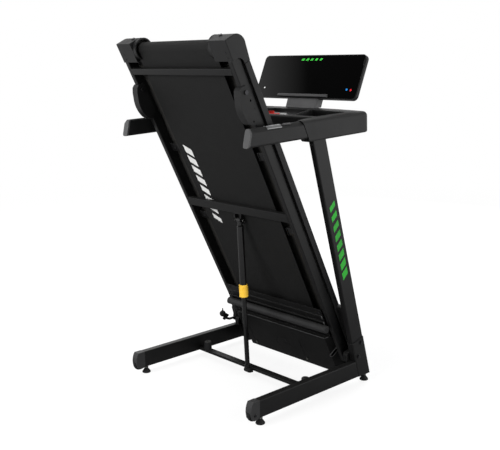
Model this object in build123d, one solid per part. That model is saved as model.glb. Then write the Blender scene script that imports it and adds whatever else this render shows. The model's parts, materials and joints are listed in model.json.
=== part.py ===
from build123d import *
from math import atan2, cos, degrees, hypot, radians, sin
import os

# Folding treadmill: a floor frame with leaning uprights, a console with two grips, and a running deck
# that folds up behind them on a telescopic strut.
#
# +X is the walker's right, +Y is forward (console and motor end) and +Z is up.  The origin is on the
# floor under the middle of the folded machine.  Units are millimetres; the rest pose is the folded one.

# ---------------------------------------------------------------- driving dimensions
half_width = 370.0              # outer face of floor rails and uprights, from the middle
tube_wall = 2.0
shell_wall = 3.0
running = 0.06                  # radial clearance of a shaft in its bore

rail_width, rail_height = 30.0, 70.0
rail_low, rail_rear = 30.0, -300.0
rail_x = half_width - rail_width / 2
rail_high = rail_low + rail_height
cross_y, cross_depth, cross_height = 23.0, 34.0, 12.0

lean = 16.47                    # the uprights lean rearward by this angle
upright_foot_y = 321.7          # where an upright's centre line meets the floor
upright_width, upright_depth = 25.0, 70.0
upright_start, upright_end = 62.0, 1120.0
sleeve_wall, sleeve_top = 3.0, 200.0
upright_x = half_width - sleeve_wall - upright_width / 2

wheel_y, wheel_z, wheel_r, wheel_half = -322.0, 46.0, 24.0, 8.0
wheel_bolt_r = 4.0
foot_rear_y, foot_front_y = -283.0, 328.0
foot_pad_r, foot_stem_r = 18.0, 5.0
buffer_r, buffer_top = 16.5, 78.4       # rubber posts under the open deck

fold_angle = 63.15                      # folded deck from level
pivot_y, pivot_z, pivot_r = 271.0, 121.0, 5.0
socket_bolt_y, socket_bolt_z = 285.0, 178.0
bolt_head_r, bolt_head = 8.5, 5.0

side_rail_x, side_rail_width, side_rail_height = 300.0, 20.0, 42.0
deck_under = -31.0                      # underside of the side rails, from the deck's pivot
side_rail_high = deck_under + side_rail_height
side_rail_front, side_rail_rear = 18.0, -1357.8
rail_inside = side_rail_x - side_rail_width / 2
rail_outside = side_rail_x + side_rail_width / 2
deck_tube_height, cushion = 14.0, 3.8
pan_half, pan_top, bar_half, bar_r = 283.0, 289.0, 298.0, 16.0
rear_tube_y, middle_tube_y = (-1330.0, -1304.0), (-725.0, -685.0)

roller_z, roller_rear_y, roller_front_y = 10.0, -1395.0, -158.0
roller_r, belt_inner, belt_outer, belt_half = 22.7, 23.0, 25.0, 225.0
axle_r = 7.0
motor_y, motor_z, motor_r = -55.0, 45.0, 42.0
small_pulley_r, large_pulley_r, pulley_x = 17.0, 34.0, (-262.0, -240.0)
cap_inner, cap_outer, cap_r = 228.0, 318.0, 41.0

hinge_y, hinge_z = -1238.0, -24.5       # pivot of the incline feet, in the deck
strut_base_y, strut_base_z = -12.0, 36.0
strut_deck_y, strut_deck_z = -653.0, -31.0
pin_r, eye_half = 5.0, 10.0
rod_r, cylinder_r, collar_r = 10.0, 14.0, 18.5
rod_length, cylinder_start = 342.0, 327.8

console_y, console_z, console_tilt = 16.0, 1034.0, 2.9
console_low, console_high = -2.0, 80.0
console_side, console_corner, console_front, console_bulge = 371.0, 26.0, 288.0, 325.0
rim_round, edge_round = 18.0, 8.0       # outer rim of the console's top, and its other edges
joint_slope = (-58.0, -92.5)           # slanted joint of arm and grip: at its underside and its top
grip_x, grip_low, grip_high = 356.5, 12.0, 77.0
grip_chamfer, joint_gap = 15.0, 4.0
tray_floor, panel_floor = 40.0, 66.0
key_x, key_y = 21.0, 96.0
thumb_y = -162.0

display_y, display_z, display_lean = 313.0, 1168.0, 22.6
display_width, display_height, display_depth = 576.0, 194.0, 20.0

# ---------------------------------------------------------------- placing frames
DECK = Pos(0, pivot_y, pivot_z) * Rot(-fold_angle, 0, 0)
CONSOLE = Pos(0, console_y, console_z) * Rot(console_tilt, 0, 0)
DISPLAY = Pos(0, display_y, display_z) * Rot(-display_lean, 0, 0)


def upright_frame(side):
    return Pos(side * upright_x, upright_foot_y, 0) * Rot(lean, 0, 0)


def deck_point(y, z):
    """A point of the folded deck in the machine's frame."""
    turn = radians(-fold_angle)
    return pivot_y + y * cos(turn) - z * sin(turn), pivot_z + y * sin(turn) + z * cos(turn)


strut_top_y, strut_top_z = deck_point(strut_deck_y, strut_deck_z)
strut_length = hypot(strut_top_y - strut_base_y, strut_top_z - strut_base_z)
strut_angle = degrees(atan2(strut_top_z - strut_base_z, strut_top_y - strut_base_y))
STRUT = Pos(0, strut_base_y, strut_base_z) * Rot(strut_angle - 90, 0, 0)


# ---------------------------------------------------------------- general helpers
def block(x, y, z):
    """A box from its low and high corner along each axis."""
    size = Box(x[1] - x[0], y[1] - y[0], z[1] - z[0])
    return Pos((x[0] + x[1]) / 2, (y[0] + y[1]) / 2, (z[0] + z[1]) / 2) * size


def bar_x(x0, x1, y, z, radius):
    return Pos((x0 + x1) / 2, y, z) * Rot(0, 90, 0) * Cylinder(radius, x1 - x0)


def bar_y(x, y0, y1, z, radius):
    return Pos(x, (y0 + y1) / 2, z) * Rot(90, 0, 0) * Cylinder(radius, y1 - y0)


def bar_z(x, y, z0, z1, radius):
    return Pos(x, y, (z0 + z1) / 2) * Cylinder(radius, z1 - z0)


def hex_x(x0, x1, y, z, radius):
    """A hexagonal head or nut along X."""
    return extrude(Plane.YZ.offset(x0) * Pos(y, z) * RegularPolygon(radius, 6), amount=x1 - x0)


def plate_x(face, x0, x1):
    """Extrude a face drawn in Y and Z from one X to another."""
    return extrude(Plane.YZ.offset(x0) * face, amount=x1 - x0)


def polygon(*points):
    return make_face(Polyline(*points, close=True))


def turned(outline):
    """Revolve a half outline of radius and height about Z."""
    return revolve(Plane.XZ * make_face(outline), Axis.Z)


def steel_tube(width, depth, length, wall=tube_wall, radius=4.0):
    """A rectangular tube along Z."""
    ring = RectangleRounded(width, depth, radius)
    ring -= RectangleRounded(width - 2 * wall, depth - 2 * wall, max(radius - wall, 0.8))
    return extrude(ring, amount=length)


def on_side(shape, side):
    """A shape drawn on the right, or its mirror image on the left."""
    return shape if side > 0 else mirror(shape, about=Plane.YZ)


def group(*shapes):
    """Several separate solids kept as one sub-part."""
    return Compound(children=[solid for shape in shapes for solid in shape.solids()])


def both(make):
    """The right and the left copy of a sub-part, as one group."""
    right = make()
    return group(right, on_side(right, -1))


# ---------------------------------------------------------------- floor frame
def upright_prism(side, grow, low, high):
    """The upright's section, grown all round, between two heights along the upright."""
    section = RectangleRounded(upright_width + 2 * grow, upright_depth + 2 * grow, 4.0 + grow)
    return upright_frame(side) * Pos(0, 0, low) * extrude(section, amount=high - low)


def base_rail(side):
    """Floor tube from the rear cap to the leaning face of the upright's socket."""
    start = Pos(side * rail_x, rail_rear, (rail_low + rail_high) / 2) * Rot(-90, 0, 0)
    rail = start * steel_tube(rail_width, rail_height, 640)
    socket_rear = -upright_depth / 2 - sleeve_wall
    rail -= upright_frame(side) * block((-60, 60), (socket_rear, 400), (-300, 400))
    return rail - bar_z(side * rail_x, foot_rear_y, 0, 60, foot_stem_r + running)


def rail_end_cap():
    """Moulded plug: bulged rear face, and a lobe below that carries the transport wheel."""
    rear = rail_rear - 33
    edges = Polyline((rail_rear, rail_low), (rail_rear, rail_high), (rear, rail_high))
    edges += ThreePointArc((rear, rail_high), (rear - 10, 74), (rear - 8, 44))
    edges += ThreePointArc((rear - 8, 44), (rear - 2, 31), (rear + 10, 26.5))
    edges += Line((rear + 10, 26.5), (rail_rear, rail_low))
    cap = plate_x(make_face(edges), half_width - rail_width, half_width)
    inside = RectangleRounded(rail_width - 2 * tube_wall, rail_height - 2 * tube_wall, 2.0)
    tongue = Pos(rail_x, rail_rear, (rail_low + rail_high) / 2) * Rot(-90, 0, 0) * extrude(inside, amount=18)
    cap += tongue
    slot = (rail_x - wheel_half - 1.5, rail_x + wheel_half + 1.5)
    cap -= bar_x(*slot, wheel_y, wheel_z, wheel_r + 1.5)
    cap -= block(slot, (wheel_y - wheel_r - 1.5, wheel_y + wheel_r + 1.5), (0, wheel_z))
    cap -= block(slot, (wheel_y - 60, wheel_y), (0, wheel_z + 8))
    cap -= bar_x(half_width - rail_width + 1, half_width, wheel_y, wheel_z, wheel_bolt_r)
    return cap - bar_z(rail_x, foot_rear_y, 0, 50, foot_stem_r + 3)


def wheel_axle():
    axle = bar_x(half_width - rail_width + 1, half_width + 1, wheel_y, wheel_z, wheel_bolt_r)
    return axle + hex_x(half_width, half_width + 3, wheel_y, wheel_z, 6.0)


def transport_wheel(side):
    """Grooved wheel with a crowned tread and a thinner web."""
    bore, tread = wheel_bolt_r + running, wheel_r - 2
    outline = Polyline((bore, -8), (8, -8), (8, -5.5), (18, -5.5), (18, -8), (tread, -8))
    outline += ThreePointArc((tread, -8), (wheel_r, 0), (tread, 8))
    outline += Polyline((tread, 8), (18, 8), (18, 5.5), (8, 5.5), (8, 8), (bore, 8), (bore, -8))
    return Pos(side * rail_x, wheel_y, wheel_z) * Rot(0, 90, 0) * turned(outline)


def levelling_foot(side, y):
    """Rubber-soled cone on a threaded stem."""
    outline = Polyline((0, 0), (17, 0), (foot_pad_r, 1.5), (foot_pad_r, 5), (8, 19), (8, 22))
    outline += Polyline((8, 22), (foot_stem_r, 22), (foot_stem_r, 44), (0, 44), (0, 0))
    return Pos(side * rail_x, y, 0) * turned(outline)


def cross_tube():
    span = 2 * (half_width - rail_width)
    start = Pos(-span / 2, cross_y, rail_low + cross_height / 2) * Rot(0, 90, 0)
    return start * steel_tube(cross_height, cross_depth, span, radius=3.0)


def buffer_post():
    """Rubber post under the open deck's side rail."""
    foot = rail_low + cross_height
    high, round_off, hole = buffer_top - foot, 3, 4
    outline = Polyline((0, 0), (buffer_r, 0), (buffer_r, high - round_off), (buffer_r - round_off, high))
    outline += Polyline((buffer_r - round_off, high), (hole, high), (hole, high - 4), (0, high - 4), (0, 0))
    return Pos(side_rail_x, cross_y, foot) * turned(outline)


def strut_base_bracket():
    """Two ears on a web behind the cross tube, with the floor pin of the strut."""
    face = cross_y - cross_depth / 2
    low, high = rail_low - 6, rail_low + cross_height
    ear_in, ear_out, head = eye_half + 1.5, eye_half + 4.5, eye_half + 7
    seat = Polyline((face, low), (face, high), (face - 4, high))
    ear = make_hull((Pos(strut_base_y, strut_base_z) * Circle(10)).edges() + seat.edges())
    ears = plate_x(ear, ear_in, ear_out) + plate_x(ear, -ear_out, -ear_in)
    bracket = ears + block((-ear_out, ear_out), (face - 3, face), (rail_low, high))
    bracket -= bar_x(-30, 30, strut_base_y, strut_base_z, pin_r)
    pin = bar_x(-head, head, strut_base_y, strut_base_z, pin_r)
    for x0, x1 in ((ear_out, head), (-head, -ear_out)):
        pin += bar_x(x0, x1, strut_base_y, strut_base_z, 7.5)
    return group(bracket, pin)


def upright_socket():
    """Sleeve round the upright's foot, with the pressed housing of the deck's pivot inboard of it."""
    floor_cut = block((0, 500), (-500, 900), (-400, rail_low))
    sleeve = upright_prism(1, sleeve_wall, -60, sleeve_top) - floor_cut
    hollow = upright_prism(1, 0, -60, sleeve_top + 1)
    sleeve -= hollow - block((0, 500), (-500, 900), (-400, rail_low + 4))
    sleeve -= bar_z(rail_x, foot_front_y, 0, 60, foot_stem_r + running)
    edges = Polyline((302, 101), (230, 101), (230, 126))
    edges += ThreePointArc((230, 126), (233.5, 135), (242, 139.5))
    edges += Line((242, 139.5), (286, 146)) + ThreePointArc((286, 146), (298, 128), (302, 101))
    outline = make_face(edges)
    housing = plate_x(outline, 321, 341) - plate_x(offset(outline, -shell_wall), 320, 321 + 14)
    housing += bar_x(321, 341, pivot_y, pivot_z, 13)
    sleeve += housing - upright_prism(1, sleeve_wall, -60, sleeve_top)
    for y, z in ((pivot_y, pivot_z), (socket_bolt_y, socket_bolt_z)):
        sleeve -= bar_x(300, 400, y, z, pivot_r)
    return sleeve


def upright(side):
    length = upright_end - upright_start
    post = upright_frame(side) * Pos(0, 0, upright_start) * steel_tube(upright_width, upright_depth, length)
    for y, z in ((pivot_y, pivot_z), (socket_bolt_y, socket_bolt_z)):
        post -= bar_x(-400, 400, y, z, pivot_r)
    return post


def through_bolt(y, z, inner, nut):
    """Hex bolt from the outer face inward, with its nut."""
    bolt = bar_x(inner, half_width + 1, y, z, pivot_r)
    bolt += hex_x(half_width, half_width + bolt_head, y, z, bolt_head_r)
    return bolt + hex_x(*nut, y, z, bolt_head_r)


def pivot_bolt():
    return through_bolt(pivot_y, pivot_z, 281, (283, rail_inside - 0.5))


def frame_bolt():
    """Socket bolt, and the screw that holds the console from behind the upright."""
    inner = upright_x - upright_width / 2 - sleeve_wall
    bolt = through_bolt(socket_bolt_y, socket_bolt_z, inner - 7, (inner - 5, inner))
    head = Pos(0, -upright_depth / 2, 1071) * Rot(90, 0, 0)
    screw = extrude(Circle(5.5), amount=3.5) - Pos(0, 0, 1.5) * extrude(RegularPolygon(2.5, 6), amount=3)
    return group(bolt, upright_frame(1) * head * screw)


def cord_hook():
    """Moulded hook behind the left socket, with a rounded end and a small prong."""
    root, x, z = 246.0, -355.0, 131.0
    path = FilletPolyline((x, root + 4, z), (x, 204, z), (x, 184, 139), (x, 168, 158), radius=12)
    arm = sweep(Plane(origin=(x, root + 4, z), z_dir=(0, -1, 0)) * Circle(5.5), path=path)
    knob = Pos(x, 162, 166) * Sphere(14.5)
    prong = Pos(x, 162, 184) * Cone(4, 2, 16)
    collar = Pos(x, 178, 147) * Rot(-40, 0, 0) * Cone(6.5, 12.5, 30)
    plate = block((x - 9, x + 9), (root - 10, root + 8), (z - 12, z + 14))
    return arm + knob + prong + collar + plate - upright_prism(-1, sleeve_wall, -60, sleeve_top)


# ---------------------------------------------------------------- console
def console_plan(inset, rear):
    """Outline from above: two arms reaching rearward to the grips, and a bowed front edge."""
    out, front, bulge = console_side - inset, console_front - inset, console_bulge - inset
    inner_rear, inner_front, body = 343 + inset, 316 + inset, 20 + inset
    edges = Line((out, rear), (out, front)) + ThreePointArc((out, front), (0, bulge), (-out, front))
    edges += Polyline((-out, front), (-out, rear), (-inner_rear, rear), (-inner_front, -10),
                      (-inner_front, body), (inner_front, body), (inner_front, -10), (inner_rear, rear),
                      (out, rear))
    plan = make_face(edges)
    plan = fillet(plan.vertices().filter_by(lambda v: v.Y > 200), console_corner - inset)
    return fillet(plan.vertices().filter_by(lambda v: -30 < v.Y < 50), 12 - inset / 2)


def centre_recess_plan(grow):
    """Trapezoid, wide towards the walker and narrow at the neck."""
    rear, front = 45 - grow, 235 + grow
    face = polygon((-190 - grow, rear), (190 + grow, rear), (100 + grow, front), (-100 - grow, front))
    return fillet(face.vertices(), 10)


def tray_plan(grow):
    rear, front = 45 - grow, 215 + grow
    face = polygon((200 - grow, rear), (312 + grow, rear), (312 + grow, front), (112 - grow, front + 20))
    return fillet(face.vertices(), 12)


def behind_joint(gap):
    """Everything behind the slanted joint of arm and grip, moved rearward by a gap."""
    low, high = joint_slope[0] - gap, joint_slope[1] - gap
    slope = (high - low) / console_high
    top, bottom = 140.0, -60.0
    face = polygon((-600, bottom), (low + slope * bottom, bottom), (low + slope * top, top), (-600, top))
    return plate_x(face, -420, 420)


def rounded_console(inset):
    """The console's volume inside a wall, its outer rim rounded over into the top."""
    low, high = console_low + inset, console_high - inset
    body = extrude(Pos(0, 0, low) * console_plan(inset, -130), amount=high - low)
    def is_rim(edge):
        return edge.center().Y > 100 or abs(edge.center().X) > console_side - inset - 1

    def is_inner(edge):
        return edge.center().Y < 25 and abs(edge.center().X) < 345

    body = fillet(body.edges().group_by(Axis.Z)[-1].filter_by(is_rim), rim_round - inset)
    inner = body.edges().group_by(Axis.Z)[-1].filter_by(is_inner)
    return fillet(inner + body.edges().group_by(Axis.Z)[0], edge_round - inset)


def console_frame():
    """Moulded console: a hollow shell with a middle recess, two side trays and open arm sockets."""
    shell = rounded_console(0) - behind_joint(0)
    hollow = rounded_console(shell_wall) - behind_joint(-4)
    recess = extrude(Pos(0, 0, panel_floor) * centre_recess_plan(0), amount=40)
    hollow -= extrude(Pos(0, 0, panel_floor - shell_wall) * centre_recess_plan(shell_wall), amount=60)
    tray = extrude(Pos(0, 0, tray_floor) * tray_plan(0), amount=60)
    tray_skin = extrude(Pos(0, 0, tray_floor - shell_wall) * tray_plan(shell_wall), amount=80)
    shell -= hollow - tray_skin - on_side(tray_skin, -1)
    shell -= recess + tray + on_side(tray, -1)
    shell -= bar_z(key_x, key_y, panel_floor - 10, panel_floor + 10, 6 + running)
    for side in (1, -1):
        shell -= side_spigot(side)
    shell = CONSOLE * shell
    for side in (1, -1):
        shell -= upright_prism(side, 0.2, 900, upright_end + 1)
    return shell


def centre_panel():
    """Gloss insert on the floor of the middle recess."""
    panel = extrude(Pos(0, 0, panel_floor) * centre_recess_plan(0), amount=3)
    return CONSOLE * (panel - bar_z(key_x, key_y, panel_floor - 10, panel_floor + 10, 6 + running))


def safety_key():
    """Pull-off key: a long bar with a finger tab, on a stub that sits in the panel."""
    seat, top = panel_floor + 3.3, panel_floor + 10
    body = Pos(0, 0, seat) * extrude(SlotOverall(86, 24), amount=top - seat)
    body = fillet(body.edges().group_by(Axis.Z)[-1], 2.5)
    stub = bar_z(0, 0, panel_floor - 8, seat, 6)
    tab = Pos(0, 0, top + 3) * Rot(90, 0, 0) * extrude(RectangleRounded(30, 12, 4), amount=2.5, both=True)
    return CONSOLE * Pos(key_x, key_y, 0) * (body + stub + tab)


def grip_section(grow):
    """Section of a grip, slanted over its outer shoulder."""
    outer, inner = console_side, 2 * grip_x - console_side
    face = polygon((inner, grip_low), (outer, grip_low), (outer, grip_high - grip_chamfer),
                   (outer - grip_chamfer + 1, grip_high), (inner, grip_high))

    def on_shoulder(corner):
        return corner.X > outer - grip_chamfer and corner.Y > grip_high - 2 * grip_chamfer

    face = fillet(face.vertices().filter_by(on_shoulder, reverse=True), 9)
    face = fillet(face.vertices().filter_by(on_shoulder), 5)
    return offset(face, grow) if grow else face


def grip_bar(grow, rear, front):
    return Pos(0, front, 0) * extrude(Plane.XZ * grip_section(grow), amount=front - rear)


def grip_end_cut(distance):
    """Everything behind the slanted end of a grip, moved forward by a distance."""
    low, high = -368 + distance, -351 + distance
    slope = (high - low) / (grip_high - grip_low)
    below, above = -60, grip_high + 60
    face = polygon((-600, below), (low - slope * (grip_low - below), below), (high + slope * 60, above),
                   (-600, above))
    return plate_x(face, -420, 420)


def side_spigot(side):
    """Steel core of a grip, reaching into the console's arm."""
    return on_side(block((348, 365), (-130, -48), (22, 58)), side)


def grip():
    """Hand grip with a shallow moulded well round the thumb key."""
    bar = grip_bar(0, -400, 0) & behind_joint(joint_gap)
    bar -= grip_end_cut(8)
    bar += side_spigot(1)
    well = Pos(grip_x, thumb_y + 8, 0) * Rot(0, 0, 90)
    bar -= Pos(0, 0, grip_high - 1.2) * well * extrude(SlotOverall(76, 17), amount=10)
    bar -= Pos(grip_x, thumb_y, grip_high - 5) * Rot(0, 0, 90) * extrude(SlotOverall(41, 13), amount=10)
    return CONSOLE * bar


def grip_end_cap():
    cap = (grip_bar(0, -400, -300) & grip_end_cut(8)) - grip_end_cut(0)
    return CONSOLE * cap


def contact_plate():
    """Thin metal saddle bent over the top of a grip."""
    saddle = grip_bar(1.0, -268, -196) - grip_bar(0, -300, -180)
    return CONSOLE * (saddle & block((344, 366), (-300, -150), (66, 90)))


def thumb_key(side):
    key = Pos(grip_x, thumb_y, grip_high - 3.5) * Rot(0, 0, 90) * extrude(SlotOverall(40, 12), amount=4.5)
    key = fillet(key.edges().group_by(Axis.Z)[-1], 1.5)
    return CONSOLE * on_side(key, side)


def neck():
    """Folded-plate neck that rises from the console and reaches up behind the display."""
    body = Pos(0, 309, console_high) * Rot(-22.9, 0, 0) * block((-87, 87), (-19, 19), (-20, 160))
    body = fillet(body.edges().filter_by(lambda edge: abs(edge.length - 180) < 0.1), 5)
    body = CONSOLE * (body - block((-200, 200), (0, 600), (-100, console_high)))
    front = DISPLAY * block((-300, 300), (-200, display_depth), (0, 300))
    return body - front


def display_outline(grow):
    face = RectangleRounded(display_width + 2 * grow, display_height + 2 * grow, 20 + grow)
    return Plane.XZ * Pos(0, display_height / 2) * face


def display_housing():
    """Shallow dish behind the glass, with softened rear edges."""
    dish = extrude(display_outline(0), amount=-display_depth)
    dish = fillet(dish.faces().sort_by(Axis.Y)[-1].edges(), 6)
    dish -= extrude(display_outline(-3), amount=-3)
    return DISPLAY * dish


def display_glass():
    return DISPLAY * extrude(display_outline(-3), amount=-3)


def tablet_ledge():
    """Ledge under the glass that a tablet stands on, with a raised lip."""
    low, seat, lip, depth = 5, 11, 17, 9
    edges = Polyline((0, low), (0, seat), (3 - depth, seat), (3 - depth, lip - 1.5))
    edges += ThreePointArc((3 - depth, lip - 1.5), (1.5 - depth, lip), (-depth, lip - 1.5))
    edges += Line((-depth, lip - 1.5), (-depth, low + 2))
    edges += ThreePointArc((-depth, low + 2), (0.6 - depth, low + 0.6), (2 - depth, low))
    edges += Line((2 - depth, low), (0, low))
    return DISPLAY * plate_x(make_face(edges), -142, 142)


# ---------------------------------------------------------------- telescopic strut
def strut_rod():
    """Lower rod with its eye round the floor pin."""
    eye = bar_x(-eye_half, eye_half, 0, 0, 10.5)
    rod = bar_z(0, 0, 4, rod_length, rod_r)
    boss = turned(Polyline((0, 12), (10.6, 12), (12.5, 16), (12.5, 26), (rod_r, 30), (0, 30), (0, 12)))
    return STRUT * (eye + rod + boss - bar_x(-20, 20, 0, 0, pin_r + running))


def strut_cylinder():
    """Upper tube with a guide bush at its mouth, and the eye and pin for the deck's bracket."""
    closed, neck_end, bush_end = strut_length - 26, strut_length - 12, cylinder_start + 20
    bush, bore = rod_r + running, rod_r + 0.3
    outline = Polyline((bush, cylinder_start), (cylinder_r, cylinder_start), (cylinder_r, closed))
    outline += Polyline((cylinder_r, closed), (rod_r, closed + 6), (rod_r, neck_end), (0, neck_end))
    outline += Polyline((0, neck_end), (0, closed), (bore, closed), (bore, bush_end))
    outline += Polyline((bore, bush_end), (bush, bush_end), (bush, cylinder_start))
    tube = turned(outline) + bar_z(0, 0, neck_end - 2, strut_length, rod_r)
    eye = bar_x(-11, 11, 0, strut_length, 12)
    pin = bar_x(-24, 24, 0, strut_length, pin_r)
    return STRUT * (tube + eye + pin)


def lock_collar():
    """Sliding collar with finger grooves, round the mouth of the cylinder."""
    bore, low, high = cylinder_r + running, cylinder_start, cylinder_start + 53
    outline = Polyline((bore, low), (collar_r - 1.5, low), (collar_r, low + 1.5), (collar_r, high - 1.5))
    outline += Polyline((collar_r, high - 1.5), (collar_r - 1.5, high), (bore, high), (bore, low))
    collar = turned(outline)
    for step in range(3):
        middle = low + 14 + 12.5 * step
        groove = bar_z(0, 0, middle - 1.2, middle + 1.2, collar_r + 2)
        collar -= groove - bar_z(0, 0, middle - 2, middle + 2, collar_r - 0.8)
    return STRUT * collar


# ---------------------------------------------------------------- deck (drawn level, pivot at the origin)
def along_y(y0, y1, x, z, section):
    """Extrude a section drawn in X and Z along Y."""
    return Pos(x, y1, z) * extrude(Plane.XZ * section, amount=y1 - y0)


def side_rail():
    """Deck tube with the bush of the folding pivot welded through its front end."""
    middle = (deck_under + side_rail_high) / 2
    ring = RectangleRounded(side_rail_width, side_rail_height, 3.0)
    ring -= RectangleRounded(side_rail_width - 2 * tube_wall, side_rail_height - 2 * tube_wall, 1.0)
    rail = along_y(side_rail_rear, side_rail_front, side_rail_x, middle, ring)
    rail += bar_x(rail_inside, rail_outside, 0, 0, pivot_r + 3)
    rail -= bar_x(rail_inside - 5, rail_outside + 5, 0, 0, pivot_r + running)
    return rail - bar_x(rail_inside - 5, rail_outside + 5, hinge_y, hinge_z, pin_r)


def deck_cross_tubes():
    height = deck_tube_height
    bars = []
    for low, high in (rear_tube_y, middle_tube_y):
        start = Pos(-rail_inside, (low + high) / 2, deck_under + height / 2) * Rot(0, 90, 0)
        bars.append(start * steel_tube(height, high - low, 2 * rail_inside, radius=2.5))
    return group(*bars)


def strut_top_bracket():
    """Ears in front of the middle tube, with open notches that the strut's pin comes up into."""
    tube_face = middle_tube_y[1]
    seat = Polyline((tube_face, deck_under), (tube_face, deck_under + deck_tube_height), (tube_face + 8, -17))
    ear = make_hull((Pos(strut_deck_y, strut_deck_z) * Circle(12.5)).edges() + seat.edges())
    notch = Circle(pin_r + 0.3) + polygon((0, 5.3), (20, 8.6), (20, -8.6), (0, -5.3))
    ear -= Pos(strut_deck_y, strut_deck_z) * Rot(0, 0, -128.5) * notch
    ears = plate_x(ear, 16, 20) + plate_x(ear, -20, -16)
    web = block((-20, 20), (tube_face, tube_face + 3), (deck_under + 1, deck_under + deck_tube_height))
    return ears + web


def deck_board():
    return block((-305, 305), (-1325, -200), (side_rail_high + cushion, belt_inner + roller_z - 0.2))


def board_cushions():
    """Rubber pads between the side rails and the board."""
    pads = []
    for index in range(4):
        y = -290 - index * 315
        pad = block((rail_inside + 1, rail_outside - 1), (y - 20, y + 20),
                    (side_rail_high, side_rail_high + cushion))
        pads += [pad, on_side(pad, -1)]
    return group(*pads)


def running_belt():
    """Endless belt over both rollers."""
    centres = roller_front_y - roller_rear_y
    middle = Pos((roller_front_y + roller_rear_y) / 2, roller_z)
    loop = SlotCenterToCenter(centres, 2 * belt_outer) - SlotCenterToCenter(centres, 2 * belt_inner)
    return plate_x(middle * loop, -belt_half, belt_half)


def roller(y):
    """Roller tube with end discs that carry its bearings."""
    bore, hub, rim, end, web = axle_r + running, 14, roller_r - 3, 226, 224
    outline = Polyline((bore, 0), (bore, end), (hub, end), (hub, web), (rim, web), (rim, end))
    outline += Polyline((rim, end), (roller_r - 0.6, end), (roller_r, end - 6), (roller_r, 0), (bore, 0))
    half = turned(outline)
    return Pos(0, y, roller_z) * Rot(0, 90, 0) * (half + mirror(half, about=Plane.XY))


def front_roller():
    """Driven roller, with its ribbed belt pulley on the left."""
    x0, x1 = pulley_x
    body = roller(roller_front_y)
    body += bar_x(x1, -225, roller_front_y, roller_z, 15)
    body += bar_x(x0, x1, roller_front_y, roller_z, large_pulley_r)
    return body - bar_x(x0 - 5, -220, roller_front_y, roller_z, axle_r + running)


def roller_axles():
    rear = bar_x(-262, 262, roller_rear_y, roller_z, axle_r)
    front = bar_x(-rail_inside, rail_inside, roller_front_y, roller_z, axle_r)
    return group(rear, front)


def motor():
    """Drive motor: a can between two end bells, on a foot bolted to the belly pan."""
    can = bar_x(-118, -104, motor_y, motor_z, motor_r - 3) + bar_x(-104, 16, motor_y, motor_z, motor_r)
    can += bar_x(16, 30, motor_y, motor_z, motor_r - 3)
    foot = block((-100, 12), (motor_y - 32, motor_y + 32), (-46, -42))
    foot += block((-90, 2), (motor_y - 16, motor_y + 16), (-46, 12))
    return can + foot - bar_x(-130, -60, motor_y, motor_z, 8 + running)


def motor_pulley():
    """Motor shaft with its flywheel and small pulley."""
    x0, x1 = pulley_x
    shaft = bar_x(x0, -62, motor_y, motor_z, 8)
    outline = Polyline((0, -8), (12, -8), (12, -4), (28, -4), (28, -12), (38, -12), (38, 12))
    outline += Polyline((38, 12), (28, 12), (28, 4), (12, 4), (12, 8), (0, 8), (0, -8))
    flywheel = Pos(-152.5, motor_y, motor_z) * Rot(0, 90, 0) * turned(outline)
    return shaft + flywheel + bar_x(x0, x1, motor_y, motor_z, small_pulley_r)


def drive_belt():
    """Flat belt round both pulleys."""
    x0, x1 = pulley_x
    loops = []
    for gap in (2.3, 0.3):
        large = Pos(roller_front_y, roller_z) * Circle(large_pulley_r + gap)
        small = Pos(motor_y, motor_z) * Circle(small_pulley_r + gap)
        loops.append(make_hull(large.edges() + small.edges()))
    return plate_x(loops[0] - loops[1], x0 + 2, x1 - 2)


def foot_rail():
    """Moulded rail that the walker stands on: ribbed top, outer lip and two ribs down to the board."""
    rear, front, top = -1327.0, -238.0, 41.0
    section = polygon((cap_inner, 36), (cap_inner, top), (317, top), (320, 38), (320, 14), (316, 14),
                      (316, 36))
    section += polygon((250, 32.8), (254, 32.8), (254, 37), (250, 37))
    section += polygon((300, 32.8), (304, 32.8), (304, 37), (300, 37))
    for index in range(5):
        x = 246 + 14 * index
        section -= polygon((x - 2, top + 1), (x - 2, top - 1), (x + 2, top - 1), (x + 2, top + 1))
    return along_y(rear, front, 0, 0, section)


def deck_end_cap():
    """Moulded end of the deck: rounded round the rear roller, with the belt adjuster's hole."""
    end = roller_rear_y - cap_r
    halfway = cap_r * cos(radians(45))
    edges = Polyline((side_rail_rear, deck_under), (end, deck_under), (end, roller_z))
    edges += ThreePointArc((end, roller_z), (roller_rear_y - halfway, roller_z + halfway),
                           (roller_rear_y, roller_z + cap_r))
    edges += Polyline((roller_rear_y, roller_z + cap_r), (-1328, 43), (-1328, side_rail_high + 3.5))
    edges += ThreePointArc((-1328, side_rail_high + 3.5), (-1349, 8), (side_rail_rear, -6))
    edges += Line((side_rail_rear, -6), (side_rail_rear, deck_under))
    outline = make_face(edges)
    cap = plate_x(outline, cap_inner, cap_outer)
    cap = fillet(cap.faces().sort_by(Axis.X)[-1].edges().filter_by(lambda e: e.center().Y < -1360), 3)
    cap -= block((rail_inside, rail_outside), (side_rail_rear, 0), (deck_under - 1, side_rail_high))
    cap -= block((cap_inner - 1, rail_inside), (side_rail_rear + 2, 0), (deck_under - 1, side_rail_high))
    tongue = RectangleRounded(side_rail_width - 2 * tube_wall, side_rail_height - 2 * tube_wall, 1.0)
    middle = (deck_under + side_rail_high) / 2
    cap += along_y(side_rail_rear - 1, side_rail_rear + 40, side_rail_x, middle, tongue)
    cap -= bar_x(cap_inner - 1, 244, roller_rear_y, roller_z, 33)
    cap -= block((cap_inner - 1, 244), (roller_rear_y, 0), (roller_z - 33, roller_z + 33))
    cap -= bar_x(243, 262, roller_rear_y, roller_z, axle_r)
    return cap - bar_y(253, end - 5, roller_rear_y, roller_z, 4)


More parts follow.
